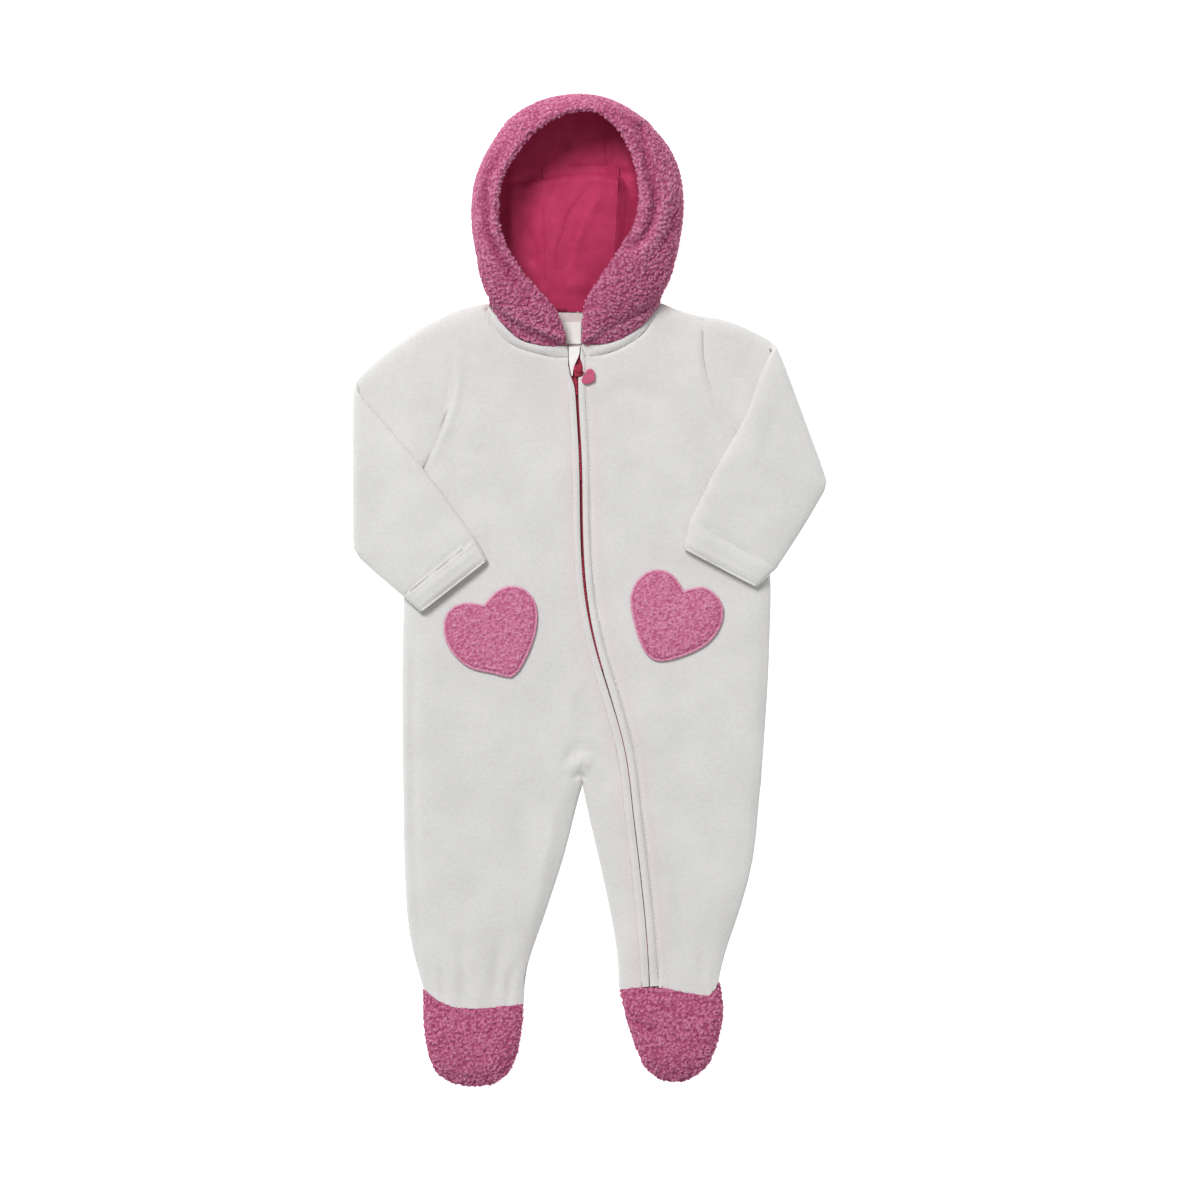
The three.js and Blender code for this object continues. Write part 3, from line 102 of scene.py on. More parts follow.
def ramp(tree, fac, stops):
    made = add_node(tree, "ShaderNodeValToRGB", {"Fac": fac})
    elements = made.color_ramp.elements
    while len(elements) < len(stops):
        elements.new(0.5)
    for element, (place, code) in zip(elements, stops):
        element.position = place
        element.color = linear(code)
    return made


def period(mm):
    """Noise scale that repeats about every so many millimetres of Object coordinates."""
    return 1000 / mm


def wave_period(mm):
    """Scale of a wave texture whose bands come about every twice so many millimetres."""
    return period(mm) / (2 * math.pi)


# The colour of crimson tape seen through cream cloth, and the most of it that shows
BLUSH_COLOUR = "#E0C8D0"
BLUSH_MOST = 0.3


# Cotton velour: a short dense nap that scatters light, so it looks matt, pale and faintly mottled
def velour(name, light, shade):
    material, tree = new_material(name)
    place = add_node(tree, "ShaderNodeTexCoord").outputs["Object"]
    nap = add_node(tree, "ShaderNodeTexNoise", {"Vector": place, "Scale": period(2.6), "Detail": 3.0,
                                                "Roughness": 0.62})
    drift = add_node(tree, "ShaderNodeTexNoise", {"Vector": place, "Scale": period(34), "Detail": 2.0})
    total = add_node(tree, "ShaderNodeMath", {0: nap.outputs["Fac"], 1: drift.outputs["Fac"]},
                     operation="ADD")
    mottle = add_node(tree, "ShaderNodeMath", {0: total.outputs[0], 1: 0.5}, operation="MULTIPLY")
    cloth_colour = ramp(tree, mottle.outputs[0], [(0.36, shade), (0.62, light)])
    blush = add_node(tree, "ShaderNodeAttribute", attribute_name="blush")
    share = add_node(tree, "ShaderNodeMath", {0: blush.outputs["Fac"], 1: BLUSH_MOST},
                     operation="MULTIPLY")
    colour = add_node(tree, "ShaderNodeMixRGB", {
        "Fac": share.outputs[0], "Color1": cloth_colour.outputs["Color"], "Color2": linear(BLUSH_COLOUR)})
    bump = add_node(tree, "ShaderNodeBump", {"Height": nap.outputs["Fac"], "Strength": 0.5,
                                             "Distance": 0.5 * MM})
    shader = add_node(tree, "ShaderNodeBsdfPrincipled", {
        "Base Color": colour.outputs[0], "Roughness": 0.92, "Specular IOR Level": 0.15,
        "Sheen Weight": 0.3, "Sheen Roughness": 0.5, "Normal": bump.outputs["Normal"]})
    return finish_material(material, tree, shader)


# Sherpa boucle: curled yarn knots, coloured lighter at their tips as painted light and darker between them
# as painted shade
def sherpa(name, deep, middle, tip):
    material, tree = new_material(name)
    place = add_node(tree, "ShaderNodeTexCoord").outputs["Object"]
    pile = add_node(tree, "ShaderNodeAttribute", attribute_name="pile")
    fibre = add_node(tree, "ShaderNodeTexNoise", {"Vector": place, "Scale": period(1.3), "Detail": 2.0,
                                                  "Distortion": 1.2})
    knots = add_node(tree, "ShaderNodeTexVoronoi", {"Vector": place, "Scale": period(1.9)})
    fuzz = add_node(tree, "ShaderNodeMath", {0: fibre.outputs["Fac"], 1: 0.5, 2: 0.08},
                    operation="MULTIPLY_ADD")
    yarn = add_node(tree, "ShaderNodeMath", {0: knots.outputs["Distance"], 1: -0.6, 2: fuzz.outputs[0]},
                    operation="MULTIPLY_ADD")
    height = add_node(tree, "ShaderNodeMath", {0: pile.outputs["Fac"], 1: 0.75, 2: yarn.outputs[0]},
                      operation="MULTIPLY_ADD")
    # The ramp paints shade low in the pile and between the knots, and paints light on the curl tips
    colour = ramp(tree, height.outputs[0], [(0.0, deep), (0.42, middle), (0.85, tip)])
    bump = add_node(tree, "ShaderNodeBump", {"Height": yarn.outputs[0], "Strength": 0.8,
                                             "Distance": 0.9 * MM})
    shader = add_node(tree, "ShaderNodeBsdfPrincipled", {
        "Base Color": colour.outputs["Color"], "Roughness": 0.85, "Specular IOR Level": 0.2,
        "Sheen Weight": 0.25, "Sheen Roughness": 0.45, "Sheen Tint": linear("#FFD5E6"),
        "Normal": bump.outputs["Normal"]})
    return finish_material(material, tree, shader)


# The setting for the wales of the jersey, as wave_period takes it
WALE_MM = 1.5


# Single jersey: fine upright knit wales, smooth and slightly silky
def jersey(name, light, shade):
    material, tree = new_material(name)
    place = add_node(tree, "ShaderNodeTexCoord").outputs["Object"]
    wales = add_node(tree, "ShaderNodeTexWave", {"Vector": place, "Scale": wave_period(WALE_MM),
                                                 "Distortion": 1.5, "Detail": 1.0, "Detail Scale": 2.0},
                     wave_type="BANDS", bands_direction="X")
    slub = add_node(tree, "ShaderNodeTexNoise", {"Vector": place, "Scale": period(9), "Detail": 4.0})
    colour = ramp(tree, slub.outputs["Fac"], [(0.3, shade), (0.68, light)])
    bump = add_node(tree, "ShaderNodeBump", {"Height": wales.outputs["Fac"], "Strength": 0.12,
                                             "Distance": 0.2 * MM})
    shader = add_node(tree, "ShaderNodeBsdfPrincipled", {
        "Base Color": colour.outputs["Color"], "Roughness": 0.72, "Specular IOR Level": 0.25,
        "Sheen Weight": 0.15, "Sheen Roughness": 0.4, "Normal": bump.outputs["Normal"]})
    return finish_material(material, tree, shader)


# Woven tape: close warp ribs across a flat ribbon, with the soft gloss of polyester
def tape(name, light, shade, rib_mm, direction, roughness):
    material, tree = new_material(name)
    place = add_node(tree, "ShaderNodeTexCoord").outputs["Object"]
    ribs = add_node(tree, "ShaderNodeTexWave", {"Vector": place, "Scale": wave_period(rib_mm),
                                                "Distortion": 0.4, "Detail": 1.0},
                    wave_type="BANDS", bands_direction=direction)
    colour = ramp(tree, ribs.outputs["Fac"], [(0.2, shade), (0.8, light)])
    bump = add_node(tree, "ShaderNodeBump", {"Height": ribs.outputs["Fac"], "Strength": 0.15,
                                             "Distance": 0.15 * MM})
    shader = add_node(tree, "ShaderNodeBsdfPrincipled", {
        "Base Color": colour.outputs["Color"], "Roughness": roughness,
        "Normal": bump.outputs["Normal"]})
    return finish_material(material, tree, shader)


# Baked lacquer over die-cast zinc: even, glossy, slightly orange-peeled
def lacquer(name, light, shade):
    material, tree = new_material(name)
    place = add_node(tree, "ShaderNodeTexCoord").outputs["Object"]
    peel = add_node(tree, "ShaderNodeTexNoise", {"Vector": place, "Scale": period(1.8), "Detail": 2.0})
    colour = ramp(tree, peel.outputs["Fac"], [(0.3, shade), (0.7, light)])
    bump = add_node(tree, "ShaderNodeBump", {"Height": peel.outputs["Fac"], "Strength": 0.15,
                                             "Distance": 0.1 * MM})
    shader = add_node(tree, "ShaderNodeBsdfPrincipled", {
        "Base Color": colour.outputs["Color"], "Roughness": 0.32, "Coat Weight": 0.4,
        "Coat Roughness": 0.12, "Normal": bump.outputs["Normal"]})
    return finish_material(material, tree, shader)


cream_velour = velour("cream_velour", "#DBDAD8", "#D2D1CF")
# The hood and the feet take a darker copy of the sherpa and the heart patches a lighter one: painted shade
# for the deep, sloping pile of the hood and feet, painted light for the flat patches that face the lamp
pink_sherpa = sherpa("pink_sherpa", "#9A3F63", "#BA6286", "#D995B0")
patch_sherpa = sherpa("trimmed_pink_sherpa_painted_lighter", "#B55A7E", "#CB7899", "#DE9DB7")
pink_jersey = jersey("deep_pink_jersey", "#BC3560", "#AD2B53")
cream_jersey = jersey("cream_jersey", "#DDD3CF", "#D2C6C2")
cream_thread = tape("cream_sewing_thread", "#D9D3C9", "#C2BAAE", 0.9, "DIAGONAL", 0.6)
crimson_coil = tape("crimson_zip_coil", "#D2375B", "#A3233F", 1.3, "Y", 0.5)
crimson_tape = tape("crimson_zip_tape", "#B02743", "#841A33", 0.9, "Y", 0.7)
white_satin = tape("white_satin_tape", "#F6F5F3", "#EDECE9", 0.8, "X", 0.45)
crimson_lacquer = lacquer("crimson_lacquer", "#B32A48", "#9A1F3B")
pink_lacquer = lacquer("pink_lacquer", "#CE5F82", "#BC4C70")


# Shapes of the cloth: every soft node is copied, rounded, and given its folds or its pile
def distance_to_path(x, y, path):
    """Distance of each place to a broken line, and its share of the line's length."""
    best = np.full(x.shape, 1e9)
    share = np.zeros(x.shape)
    lengths = [math.dist(a, b) for a, b in zip(path, path[1:])]
    total, walked = sum(lengths), 0.0
    for (ax, ay), (bx, by), length in zip(path, path[1:], lengths):
        t = np.clip(((x - ax) * (bx - ax) + (y - ay) * (by - ay)) / length ** 2, 0, 1)
        d = np.hypot(x - ax - t * (bx - ax), y - ay - t * (by - ay))
        nearer = d < best
        share = np.where(nearer, (walked + t * length) / total, share)
        best = np.where(nearer, d, best)
        walked += length
    return best, share


# A crease or a ridge along a line; its width and its height are in mm
Fold = namedtuple("Fold", "path width height")

# A fold fades over this share of its length at each end, down to this share of its height
FADE_LENGTH = 0.25
FADE_POWER = 0.7
END_HEIGHT = 0.15


def fold_heights(x, y, folds):
    """Sum of soft troughs (negative height) and ridges, fading out towards the ends of each."""
    total = np.zeros(x.shape)
    for fold in folds:
        d, share = distance_to_path(x, y, fold.path)
        fade = np.clip(np.minimum(share, 1 - share) / FADE_LENGTH, 0, 1) ** FADE_POWER
        along = END_HEIGHT + (1 - END_HEIGHT) * fade
        total += fold.height * np.exp(-(d / fold.width) ** 2) * along
    return total


def bumps(points, size, seed):
    """Smooth noise from -1 to 1 at each point, with features of about that size in mm."""
    shift = Vector((seed * 7.31, seed * 3.17, seed * 5.93))
    return np.array([noise.noise(Vector(p) / size + shift) for p in points])


# Knots of curled yarn: how far they stray from an even spread, how wide each is, its share of the height
KNOT_STRAY = 0.45
KNOT_RADIUS = 0.72
KNOT_SHARE = 0.75


def curls(points, size):
    """Height from 0 to 1 of knots of curled yarn about that size apart, in mm."""
    heights = np.empty(len(points))
    for i, p in enumerate(points):
        q = Vector(p) / size
        q += KNOT_STRAY * noise.noise_vector(q * 1.4)
        nearest = noise.voronoi(q)[0][0]
        knot = max(0.0, 1 - (nearest / KNOT_RADIUS) ** 2)
        heights[i] = KNOT_SHARE * knot + (1 - KNOT_SHARE) * (0.5 + 0.5 * noise.noise(q * 2.3))
    return heights


# Corners this close are one, and triangles less bent and less skewed than this make one square
MERGE_MM = 0.002
PAIR_BEND = math.radians(50)
PAIR_SKEW = math.radians(120)


def merged(node):
    """A copy of a CAD node's mesh with its doubles merged and its triangles paired."""
    bm = bmesh.new()
    bm.from_mesh(node.data)
    bmesh.ops.remove_doubles(bm, verts=bm.verts, dist=MERGE_MM * MM)
    bmesh.ops.join_triangles(bm, faces=bm.faces, angle_face_threshold=PAIR_BEND,
                             angle_shape_threshold=PAIR_SKEW)
    return bm


def new_piece(name, bm):
    """An object at the origin with the mesh that was built."""
    mesh = bpy.data.meshes.new(name)
    bm.to_mesh(mesh)
    bm.free()
    piece = bpy.data.objects.new(name, mesh)
    bpy.context.scene.collection.objects.link(piece)
    return piece


def rounded(name, bm, levels):
    """The mesh subdivided smoothly, with its sharp rims kept where they are."""
    crease = bm.edges.layers.float.new("crease_edge")
    for edge in bm.edges:
        if edge.is_manifold and edge.calc_face_angle(0) > CREASE_ANGLE:
            edge[crease] = 1.0
    piece = new_piece(name, bm)
    smooth = piece.modifiers.new("round", "SUBSURF")
    smooth.levels = smooth.render_levels = levels
    apply_modifiers(piece)
    return piece


def apply_modifiers(piece):
    graph = bpy.context.evaluated_depsgraph_get()
    piece.data = bpy.data.meshes.new_from_object(piece.evaluated_get(graph))
    piece.modifiers.clear()


def make_even(piece, voxel_mm):
    """Turns the piece into even squares, so that a pile can be raised on it."""
    even = piece.modifiers.new("even", "REMESH")
    even.mode = "VOXEL"
    even.voxel_size = voxel_mm * MM
    apply_modifiers(piece)


def ray_tree(objects):
    """All faces of the objects, ready for rays."""
    corners, faces = [], []
    for thing in objects:
        start = len(corners)
        corners.extend(v.co.copy() for v in thing.data.vertices)
        faces.extend([start + i for i in p.vertices] for p in thing.data.polygons)
    return BVHTree.FromPolygons(corners, faces)


# The ways along which a place may be seen, and how far its surface has to face such a way
LOOKS = [Vector(way).normalized() for way in (
    (0, 0, 1), (0.9, 0, 0.6), (-0.9, 0, 0.6), (0, 0.9, 0.6), (0, -0.9, 0.6),
    (0.9, 0, -0.2), (-0.9, 0, -0.2), (0, 0.9, -0.2), (0, -0.9, -0.2), (0, 0, -1))]
LEAST_FACING = 0.15

# How far above its own surface a place looks out: a pile's even squares lie a little inside the form
CLOTH_CLEAR_MM = 0.4
PILE_CLEAR_MM = 1.1


def is_open(place, normal, above_mm):
    """Whether a ray from a little above the place leaves without meeting cloth."""
    start = place + normal * above_mm * MM
    for look in LOOKS:
        if look.dot(normal) > LEAST_FACING and cloth_tree.ray_cast(start, look)[0] is None:
            return True
    return False


def refine_open(piece, target_mm):
    """Cuts the faces that can be seen into squares of about the target size."""
    bm = bmesh.new()
    bm.from_mesh(piece.data)
    seen = [f for f in bm.faces if is_open(f.calc_center_median(), f.normal, CLOTH_CLEAR_MM)]
    lengths = sorted(e.calc_length() / MM for e in {e for f in seen for e in f.edges})
    cuts = max(0, round(lengths[len(lengths) // 2] / target_mm) - 1)
    if cuts:
        bmesh.ops.subdivide_edges(bm, edges=list({e for f in seen for e in f.edges}), cuts=cuts,
                                  use_grid_fill=True)
    bm.to_mesh(piece.data)
    bm.free()


def read_points(piece):
    """The piece's points in mm, and its normal at each."""
    count = len(piece.data.vertices)
    places = np.empty(count * 3)
    piece.data.vertices.foreach_get("co", places)
    normals = np.empty(count * 3)
    piece.data.vertex_normals.foreach_get("vector", normals)
    return places.reshape(-1, 3) / MM, normals.reshape(-1, 3)


def write_points(piece, points):
    piece.data.vertices.foreach_set("co", (points * MM).ravel())
    piece.data.update()


def open_points(points, normals):
    return np.array([is_open(Vector(p) * MM, Vector(n), PILE_CLEAR_MM) for p, n in zip(points, normals)])


def set_attribute(piece, name, values):
    """Gives each point a value that the piece's material reads by this name."""
    layer = piece.data.attributes.new(name, "FLOAT", "POINT")
    layer.data.foreach_set("value", values)


def dress(piece, material, rims=False):
    """Gives the piece its material, soft shading and, where rims are asked for, sharp ones."""
    piece.data.materials.clear()
    piece.data.materials.append(material)
    piece.data.polygons.foreach_set("use_smooth", [True] * len(piece.data.polygons))
    if rims:
        piece.data.set_sharp_from_angle(angle=CREASE_ANGLE)


# The line of the zip in mm, and lines beside it
ZIP_LINE = [(-10.4, 160), (-10.4, 152), (-7.4, 95), (-6.8, 46), (-4.2, 0), (3.2, -41), (15.9, -83),
            (27.2, -125), (32.1, -167), (37.2, -209), (42.7, -262), (45, -300)]


def beside_zip(offset):
    """The zip's line moved towards the wearer's left by so many mm."""
    lines = []
    for i, (x, y) in enumerate(ZIP_LINE):
        before, after = ZIP_LINE[max(i - 1, 0)], ZIP_LINE[min(i + 1, len(ZIP_LINE) - 1)]
        way = Vector((after[0] - before[0], after[1] - before[1])).normalized()
        lines.append((x - way.y * offset, y + way.x * offset))
    return lines


# Folds of the body, at places in the photograph
BODY_FOLDS = [
    Fold(spots([(414, 620), (413, 720), (414, 840), (422, 960)]), 4, -1.2),
    Fold(spots([(765, 640), (764, 760)]), 3, -0.5),
    Fold(spots([(555, 660), (547, 700), (540, 740)]), 9, -0.8),
    Fold(spots([(525, 780), (523, 830), (522, 880)]), 8, -0.8),
    Fold(spots([(580, 670), (572, 700), (567, 740)]), 6, 0.7),
    Fold(spots([(555, 800), (543, 870), (530, 940)]), 5, 0.7),
    Fold(spots([(562, 766), (571, 753), (583, 748), (594, 751), (599, 764)]), 2.6, -1.7),
    Fold(spots([(574, 768), (582, 761), (592, 766)]), 3.2, 1.5),
    Fold(spots([(572, 778), (580, 775), (588, 779)]), 2, -1.5),
    Fold(spots([(599, 752), (604, 770), (607, 790)]), 3.4, -0.9),
    Fold(spots([(605, 560), (615, 600), (625, 640), (648, 690)]), 5, -0.6),
    Fold(spots([(685, 720), (680, 770)]), 8, -0.7),
    Fold(spots([(615, 740), (612, 790)]), 5, -0.6),
    Fold(spots([(675, 865), (680, 900), (685, 940)]), 6, -0.7),
    Fold(spots([(427, 965), (431, 985), (438, 998)]), 3, -1.3),
    Fold(spots([(440, 968), (445, 1005)]), 2.4, -1.4),
    Fold(spots([(452, 972), (455, 1003)]), 2.4, 0.8),
    Fold(spots([(460, 935), (464, 965), (466, 1000)]), 4, -1.3),
    Fold(spots([(480, 975), (481, 1004)]), 3, 0.8),
    Fold(spots([(502, 940), (497, 965), (494, 1000)]), 4, -1.3),
    Fold(spots([(509, 972), (508, 1002)]), 2.4, -1.2),
    Fold(spots([(520, 960), (512, 975), (511, 1000)]), 3, -0.8),
    Fold(spots([(655, 960), (657, 985)]), 4, -0.9),
    Fold(spots([(700, 955), (704, 980)]), 4, -0.9),
    Fold(spots([(525, 360), (550, 400), (575, 455)]), 13, -0.7),
    Fold(spots([(610, 385), (640, 392), (665, 405)]), 7, -0.6),
    Fold(spots([(440, 440), (465, 450), (490, 455)]), 4, -0.6),
    Fold(spots([(436, 470), (455, 480), (478, 478)]), 5, 0.5),
]

# The seams of the armholes, each a valley with the roll of its allowance beside it
ARMHOLES = [
    Fold([(-116, 204), (-104, 183), (-104, 155), (-111, 128), (-125, 95)], 2.2, -0.8),
    Fold([(-110, 204), (-100, 183), (-100, 155), (-107, 128), (-121, 96)], 3.6, 0.6),
    Fold([(86, 206), (85, 187), (87, 164), (95, 143), (110, 126), (119, 105)], 1.6, -0.55),
    Fold([(80, 206), (81, 187), (83, 164), (91, 141), (106, 124)], 3, 0.5),
]

# Soft valleys of the neck band's seam and of the stitching beside the zip, with the rolls between them
TRIM_FOLDS = [
    Fold([(-77, 210), (-73, 200), (-60, 187), (-48, 182), (-32, 178), (-15, 177)], 1.6, -1.1),
    Fold([(-68, 200), (-54, 189), (-40, 184), (-17, 182)], 3, 0.8),
    Fold([(-1, 178), (10, 179), (25, 185), (41, 196), (53, 214)], 1.6, -1.1),
    Fold([(-3, 182), (10, 184), (24, 190), (38, 201)], 3, 0.8),
    Fold(beside_zip(7.4), 1.3, -0.9),
    Fold(beside_zip(10.6), 2.6, 0.3),
    Fold(beside_zip(4.2), 2.4, 0.4),
    Fold(beside_zip(-6.9), 1.2, -0.6),
    Fold(beside_zip(-4), 2.4, 0.3),
]
BODY_FOLDS += ARMHOLES + TRIM_FOLDS

# Folds of the sleeves, at places in the photograph
SLEEVE_FOLDS = [
    Fold(spots([(365, 460), (372, 480), (385, 500)]), 5, -0.8),
    Fold(spots([(775, 415), (769, 435), (765, 455)]), 5, -0.8),
    Fold(spots([(720, 335), (730, 342), (740, 345)]), 5, -0.8),
    Fold(spots([(400, 520), (412, 532), (425, 540)]), 5, -0.6),
    Fold(spots([(735, 500), (748, 508), (765, 512)]), 5, -0.6),
]

# The seam of each hem band, and its soft lower edge
HEM_FOLDS = [
    Fold([(-88, 39), (-115, 17.5), (-142, -4)], 1.3, -1.0),
    Fold([(-84, 33), (-111, 11.5), (-138, -10)], 3, 0.5),
    Fold([(-79, 23), (-104, 3.5), (-129, -16)], 1.9, -2.4),
    Fold([(76, 53), (108, 35), (141, 17)], 1.3, -1.0),
    Fold([(74, 46), (104, 29), (136, 12)], 3, 0.5),
    Fold([(71, 32), (98, 17.5), (126, 3)], 1.9, -2.4),
]
SLEEVE_FOLDS += ARMHOLES + HEM_FOLDS

# Creases and ridges of the hood and the feet: the roll of the rim, the fill of the neck
HOOD_FOLDS = [
    Fold([(-62, 340), (-77, 318), (-80, 295), (-78, 272), (-68, 252), (-53, 229), (-44, 217)], 3.4, -4.0),
    Fold([(-55, 338), (-69, 316), (-73, 294), (-70, 272), (-61, 251), (-47, 229)], 4.5, 1.3),
    Fold([(8, 366), (37, 353), (44, 320), (50, 296), (48, 281), (42, 268), (24, 258)], 3.6, -4.0),
    Fold([(28, 340), (38, 318), (43, 296), (40, 280), (30, 266)], 4, 1.2),
    Fold([(61, 322), (60, 302), (53, 280), (45, 264), (32, 244)], 6, 2.4),
    Fold([(66, 300), (62, 278), (52, 256)], 3, -2.2),
    Fold([(-88, 300), (-87, 270), (-78, 244)], 5, 1.2),
    Fold([(-66, 212), (-50, 202), (-28, 194), (-18, 190)], 3.6, 2.6),
    Fold([(-6, 190), (17, 198), (41, 209), (54, 219)], 3.6, 2.6),
    # Dent in the wearer's left foot
    Fold([(31, -323), (40, -332), (51, -338)], 4, -2.4),
]

# Creases of the jersey inside the hood
LINING_FOLDS = [
    Fold([(-62, 309), (-41, 315), (-19, 319), (7, 320), (36, 315)], 3, -3.3),
    Fold([(-60, 303), (-41, 308), (-19, 312), (7, 313), (34, 308)], 4.5, 1.8),
    Fold([(2, 308), (-12, 285), (-23, 247)], 4.5, -2.7),
    Fold([(9, 305), (-6, 280), (-14, 256)], 5, 2.0),
    Fold([(-2, 288), (-20, 262), (-21, 239)], 4.5, -2.2),
    Fold([(-53, 280), (-46, 262), (-43, 247)], 4, -2.1),
    Fold([(-57, 325), (-59, 300), (-60, 284), (-57, 262)], 5, 2.7),
    Fold([(-19, 345), (-24, 330), (-21, 321)], 4, -2.4),
    Fold([(12, 350), (16, 334), (14, 321)], 3.5, -1.8),
    Fold([(26, 330), (33, 312), (36, 295)], 4, 2.1),
    Fold([(-20, 232), (0, 230)], 5, 1.2),
]

# The slow unevenness of soft cloth laid by hand: its height, its size and its seed
BROAD_SWELL = (0.5, 46, 1)
NARROW_SWELL = (0.25, 17, 2)


def lay(points, folds):
    """How far the cloth lies above or below the plain form, in mm."""
    flat = points * np.array([1, 1, 0])
    broad, narrow = (height * bumps(flat, size, seed) for height, size, seed in (BROAD_SWELL, NARROW_SWELL))
    return fold_heights(points[:, 0], points[:, 1], folds) + (broad + narrow)


# Each row: the node, its cloth, its cut in mm (width, length), its area in cm2 (half of the solid's
# surface), how it is held, and the nodes that it lies on
Cut = namedtuple("Cut", "node cloth width length area held on")
CUTS = [
    Cut("back_right", "back", 150, 545, 642, "laid", ()),
    Cut("back_left", "back", 150, 535, 628, "laid", ()),
    Cut("front_right", "front", 185, 545, 658, "laid", ("back_right", "back_left")),
    Cut("front_left", "front", 150, 535, 518, "laid", ("back_left",)),
    Cut("sleeve_right", "sleeve", 172, 262, 318, "folded", ("front_right",)),
    Cut("sleeve_left", "sleeve", 168, 255, 296, "folded", ("front_left",)),
    Cut("cuff_right", "cuff", 24, 120, 26, "folded", ("front_right",)),
    Cut("cuff_left", "cuff", 25, 132, 30, "folded", ("front_left",)),
    Cut("foot_top_right", "sherpa", 80, 80, 44, "laid", ("foot_sole_right",)),
    Cut("foot_top_left", "sherpa", 80, 82, 47, "laid", ("foot_sole_left",)),
    Cut("foot_sole_right", "sherpa", 80, 80, 43, "laid", ()),
    Cut("foot_sole_left", "sherpa", 80, 82, 46, "laid", ()),
    Cut("neck_band_right", "rider", 12, 72, 6, "laid", ("front_right",)),
    Cut("neck_band_left", "rider", 12, 62, 5, "laid", ("front_left",)),
    Cut("hood_right", "sherpa", 122, 192, 141, "gathered", ()),
    Cut("hood_centre", "sherpa", 108, 212, 182, "gathered", ()),
    Cut("hood_left", "sherpa", 128, 196, 160, "gathered", ()),
    Cut("lining_right", "lining", 84, 166, 97, "laid", ("hood_right",)),
    Cut("lining_centre", "lining", 80, 205, 123, "laid", ("hood_centre",)),
    Cut("lining_left", "lining", 88, 163, 90, "laid", ("hood_left",)),
    Cut("neck_facing", "facing", 85, 56, 38, "laid", ("back_right", "back_left")),
    Cut("label", "satin", 15, 17.5, 2.6, "laid", ("neck_facing",)),
    Cut("zip_welt_right", "welt", 10.6, 485, 40, "laid", ("front_right",)),
    Cut("zip_welt_left", "welt", 10.6, 490, 41, "laid", ("front_left",)),
    Cut("zip_tape_right", "tape", 10.6, 490, 45, "laid", ("front_right",)),
    Cut("zip_tape_left", "tape", 10.6, 490, 44, "laid", ("front_left",)),
    Cut("zip_guard", "satin", 10.2, 23, 2, "folded", ("neck_band_right",)),
    Cut("heart_patch_right", "patch", 73, 72, 38, "laid", ("front_right",)),
    Cut("heart_patch_left", "patch", 73, 72, 38, "laid", ("front_left",)),
]

# Each row: levels of smoothing, the size of its finest squares in mm, its material and slot
Cloth = namedtuple("Cloth", "levels fine material slot")
CLOTHS = {
    "back": Cloth(2, 4.0, cream_velour, "velour"),
    "front": Cloth(2, 2.2, cream_velour, "velour"),
    "sleeve": Cloth(2, 2.2, cream_velour, "velour"),
    "cuff": Cloth(2, 1.8, cream_velour, "velour"),
    "rider": Cloth(2, 2.0, cream_velour, "velour"),
    "welt": Cloth(2, 1.6, cream_velour, "velour"),
    "facing": Cloth(2, 2.0, cream_jersey, "jersey_facing"),
    "satin": Cloth(2, 1.0, white_satin, "white_tape"),
    "tape": Cloth(1, 3.0, crimson_tape, "zip_tape"),
    "sherpa": Cloth(2, 0.82, pink_sherpa, "sherpa"),
    "patch": Cloth(1, 0.75, patch_sherpa, "sherpa"),
    "lining": Cloth(2, 1.6, pink_jersey, "jersey_lining"),
}

# The pile: how far apart its curls are, how high they stand, and the height that moves nothing
CURL_MM = 2.2
PATCH_CURL_MM = 1.9
PILE_MM = 2.1
CURL_MIDDLE = 0.32
PATCH_CURL_MIDDLE = 0.3

# The pile where it faces down is pressed to this share; where it is hidden it has this even height
PRESSED_PILE = 0.25
HIDDEN_PILE = 0.3

# How much painted light the pile takes with each mm of a ridge, and how much painted shade in a crease
PILE_SHADE_PER_MM = 0.09

# The pile on a heart patch is trimmed to this share
TRIMMED_PILE = 0.6

# A place is on a cut edge when its normal reaches this far across, and moves out by so many mm
WALL_ACROSS = 0.45
SEAM_CLOSE_MM = 0.4

# A face of a pad's wall is one whose normal rises or falls by less than this
UPRIGHT_RISE = 0.3

# Small ripples of the lining: their height and size in mm, and their seed
RIPPLE_MM = 0.3
RIPPLE_SIZE_MM = 14
RIPPLE_SEED = 5

# The crimson tape shines through the cloth in two bands: the line between them, measured from the
# zip's own, how far they lie from it, and how wide they are
BLUSH_SHIFT_MM = 1.5
BLUSH_AT_MM = 10
BLUSH_WIDTH_MM = 3.6

# The satin-stitched rim of a heart patch, and the groove that its needle leaves inside it
RIM_MM = 1.9
RIM_RISE_MM = 0.4
RIM_SOFT_MM = 0.4
GROOVE_MM = 0.45
GROOVE_DEPTH_MM = 0.9


def upward(normals):
    """How far each place faces the camera, from 0 at the walls and below to 1."""
    return np.clip((normals[:, 2] - 0.1) / 0.4, 0, 1)


def close_seams(points, normals):
    """Moves the cut edges of a wall outwards, so that neighbours touch."""
    across = np.hypot(normals[:, 0], normals[:, 1])
    edge = across > WALL_ACROSS
    points[edge, :2] += SEAM_CLOSE_MM * normals[edge, :2] / across[edge, None]


def shape_velour(points, normals, folds):
    close_seams(points, normals)
    points[:, 2] += lay(points, folds) * upward(normals)
    return points


def shape_lining(points, normals):
    close_seams(points, normals)
    points[:, 2] += fold_heights(points[:, 0], points[:, 1], LINING_FOLDS) * upward(normals)
    points += normals * (RIPPLE_MM * bumps(points, RIPPLE_SIZE_MM, RIPPLE_SEED))[:, None]
    return points


def shape_rider(points, normals, sewn):
    """Trim that follows the folds of the front below it."""
    if sewn:
        close_seams(points, normals)
    points[:, 2] += lay(points, BODY_FOLDS)
    return points


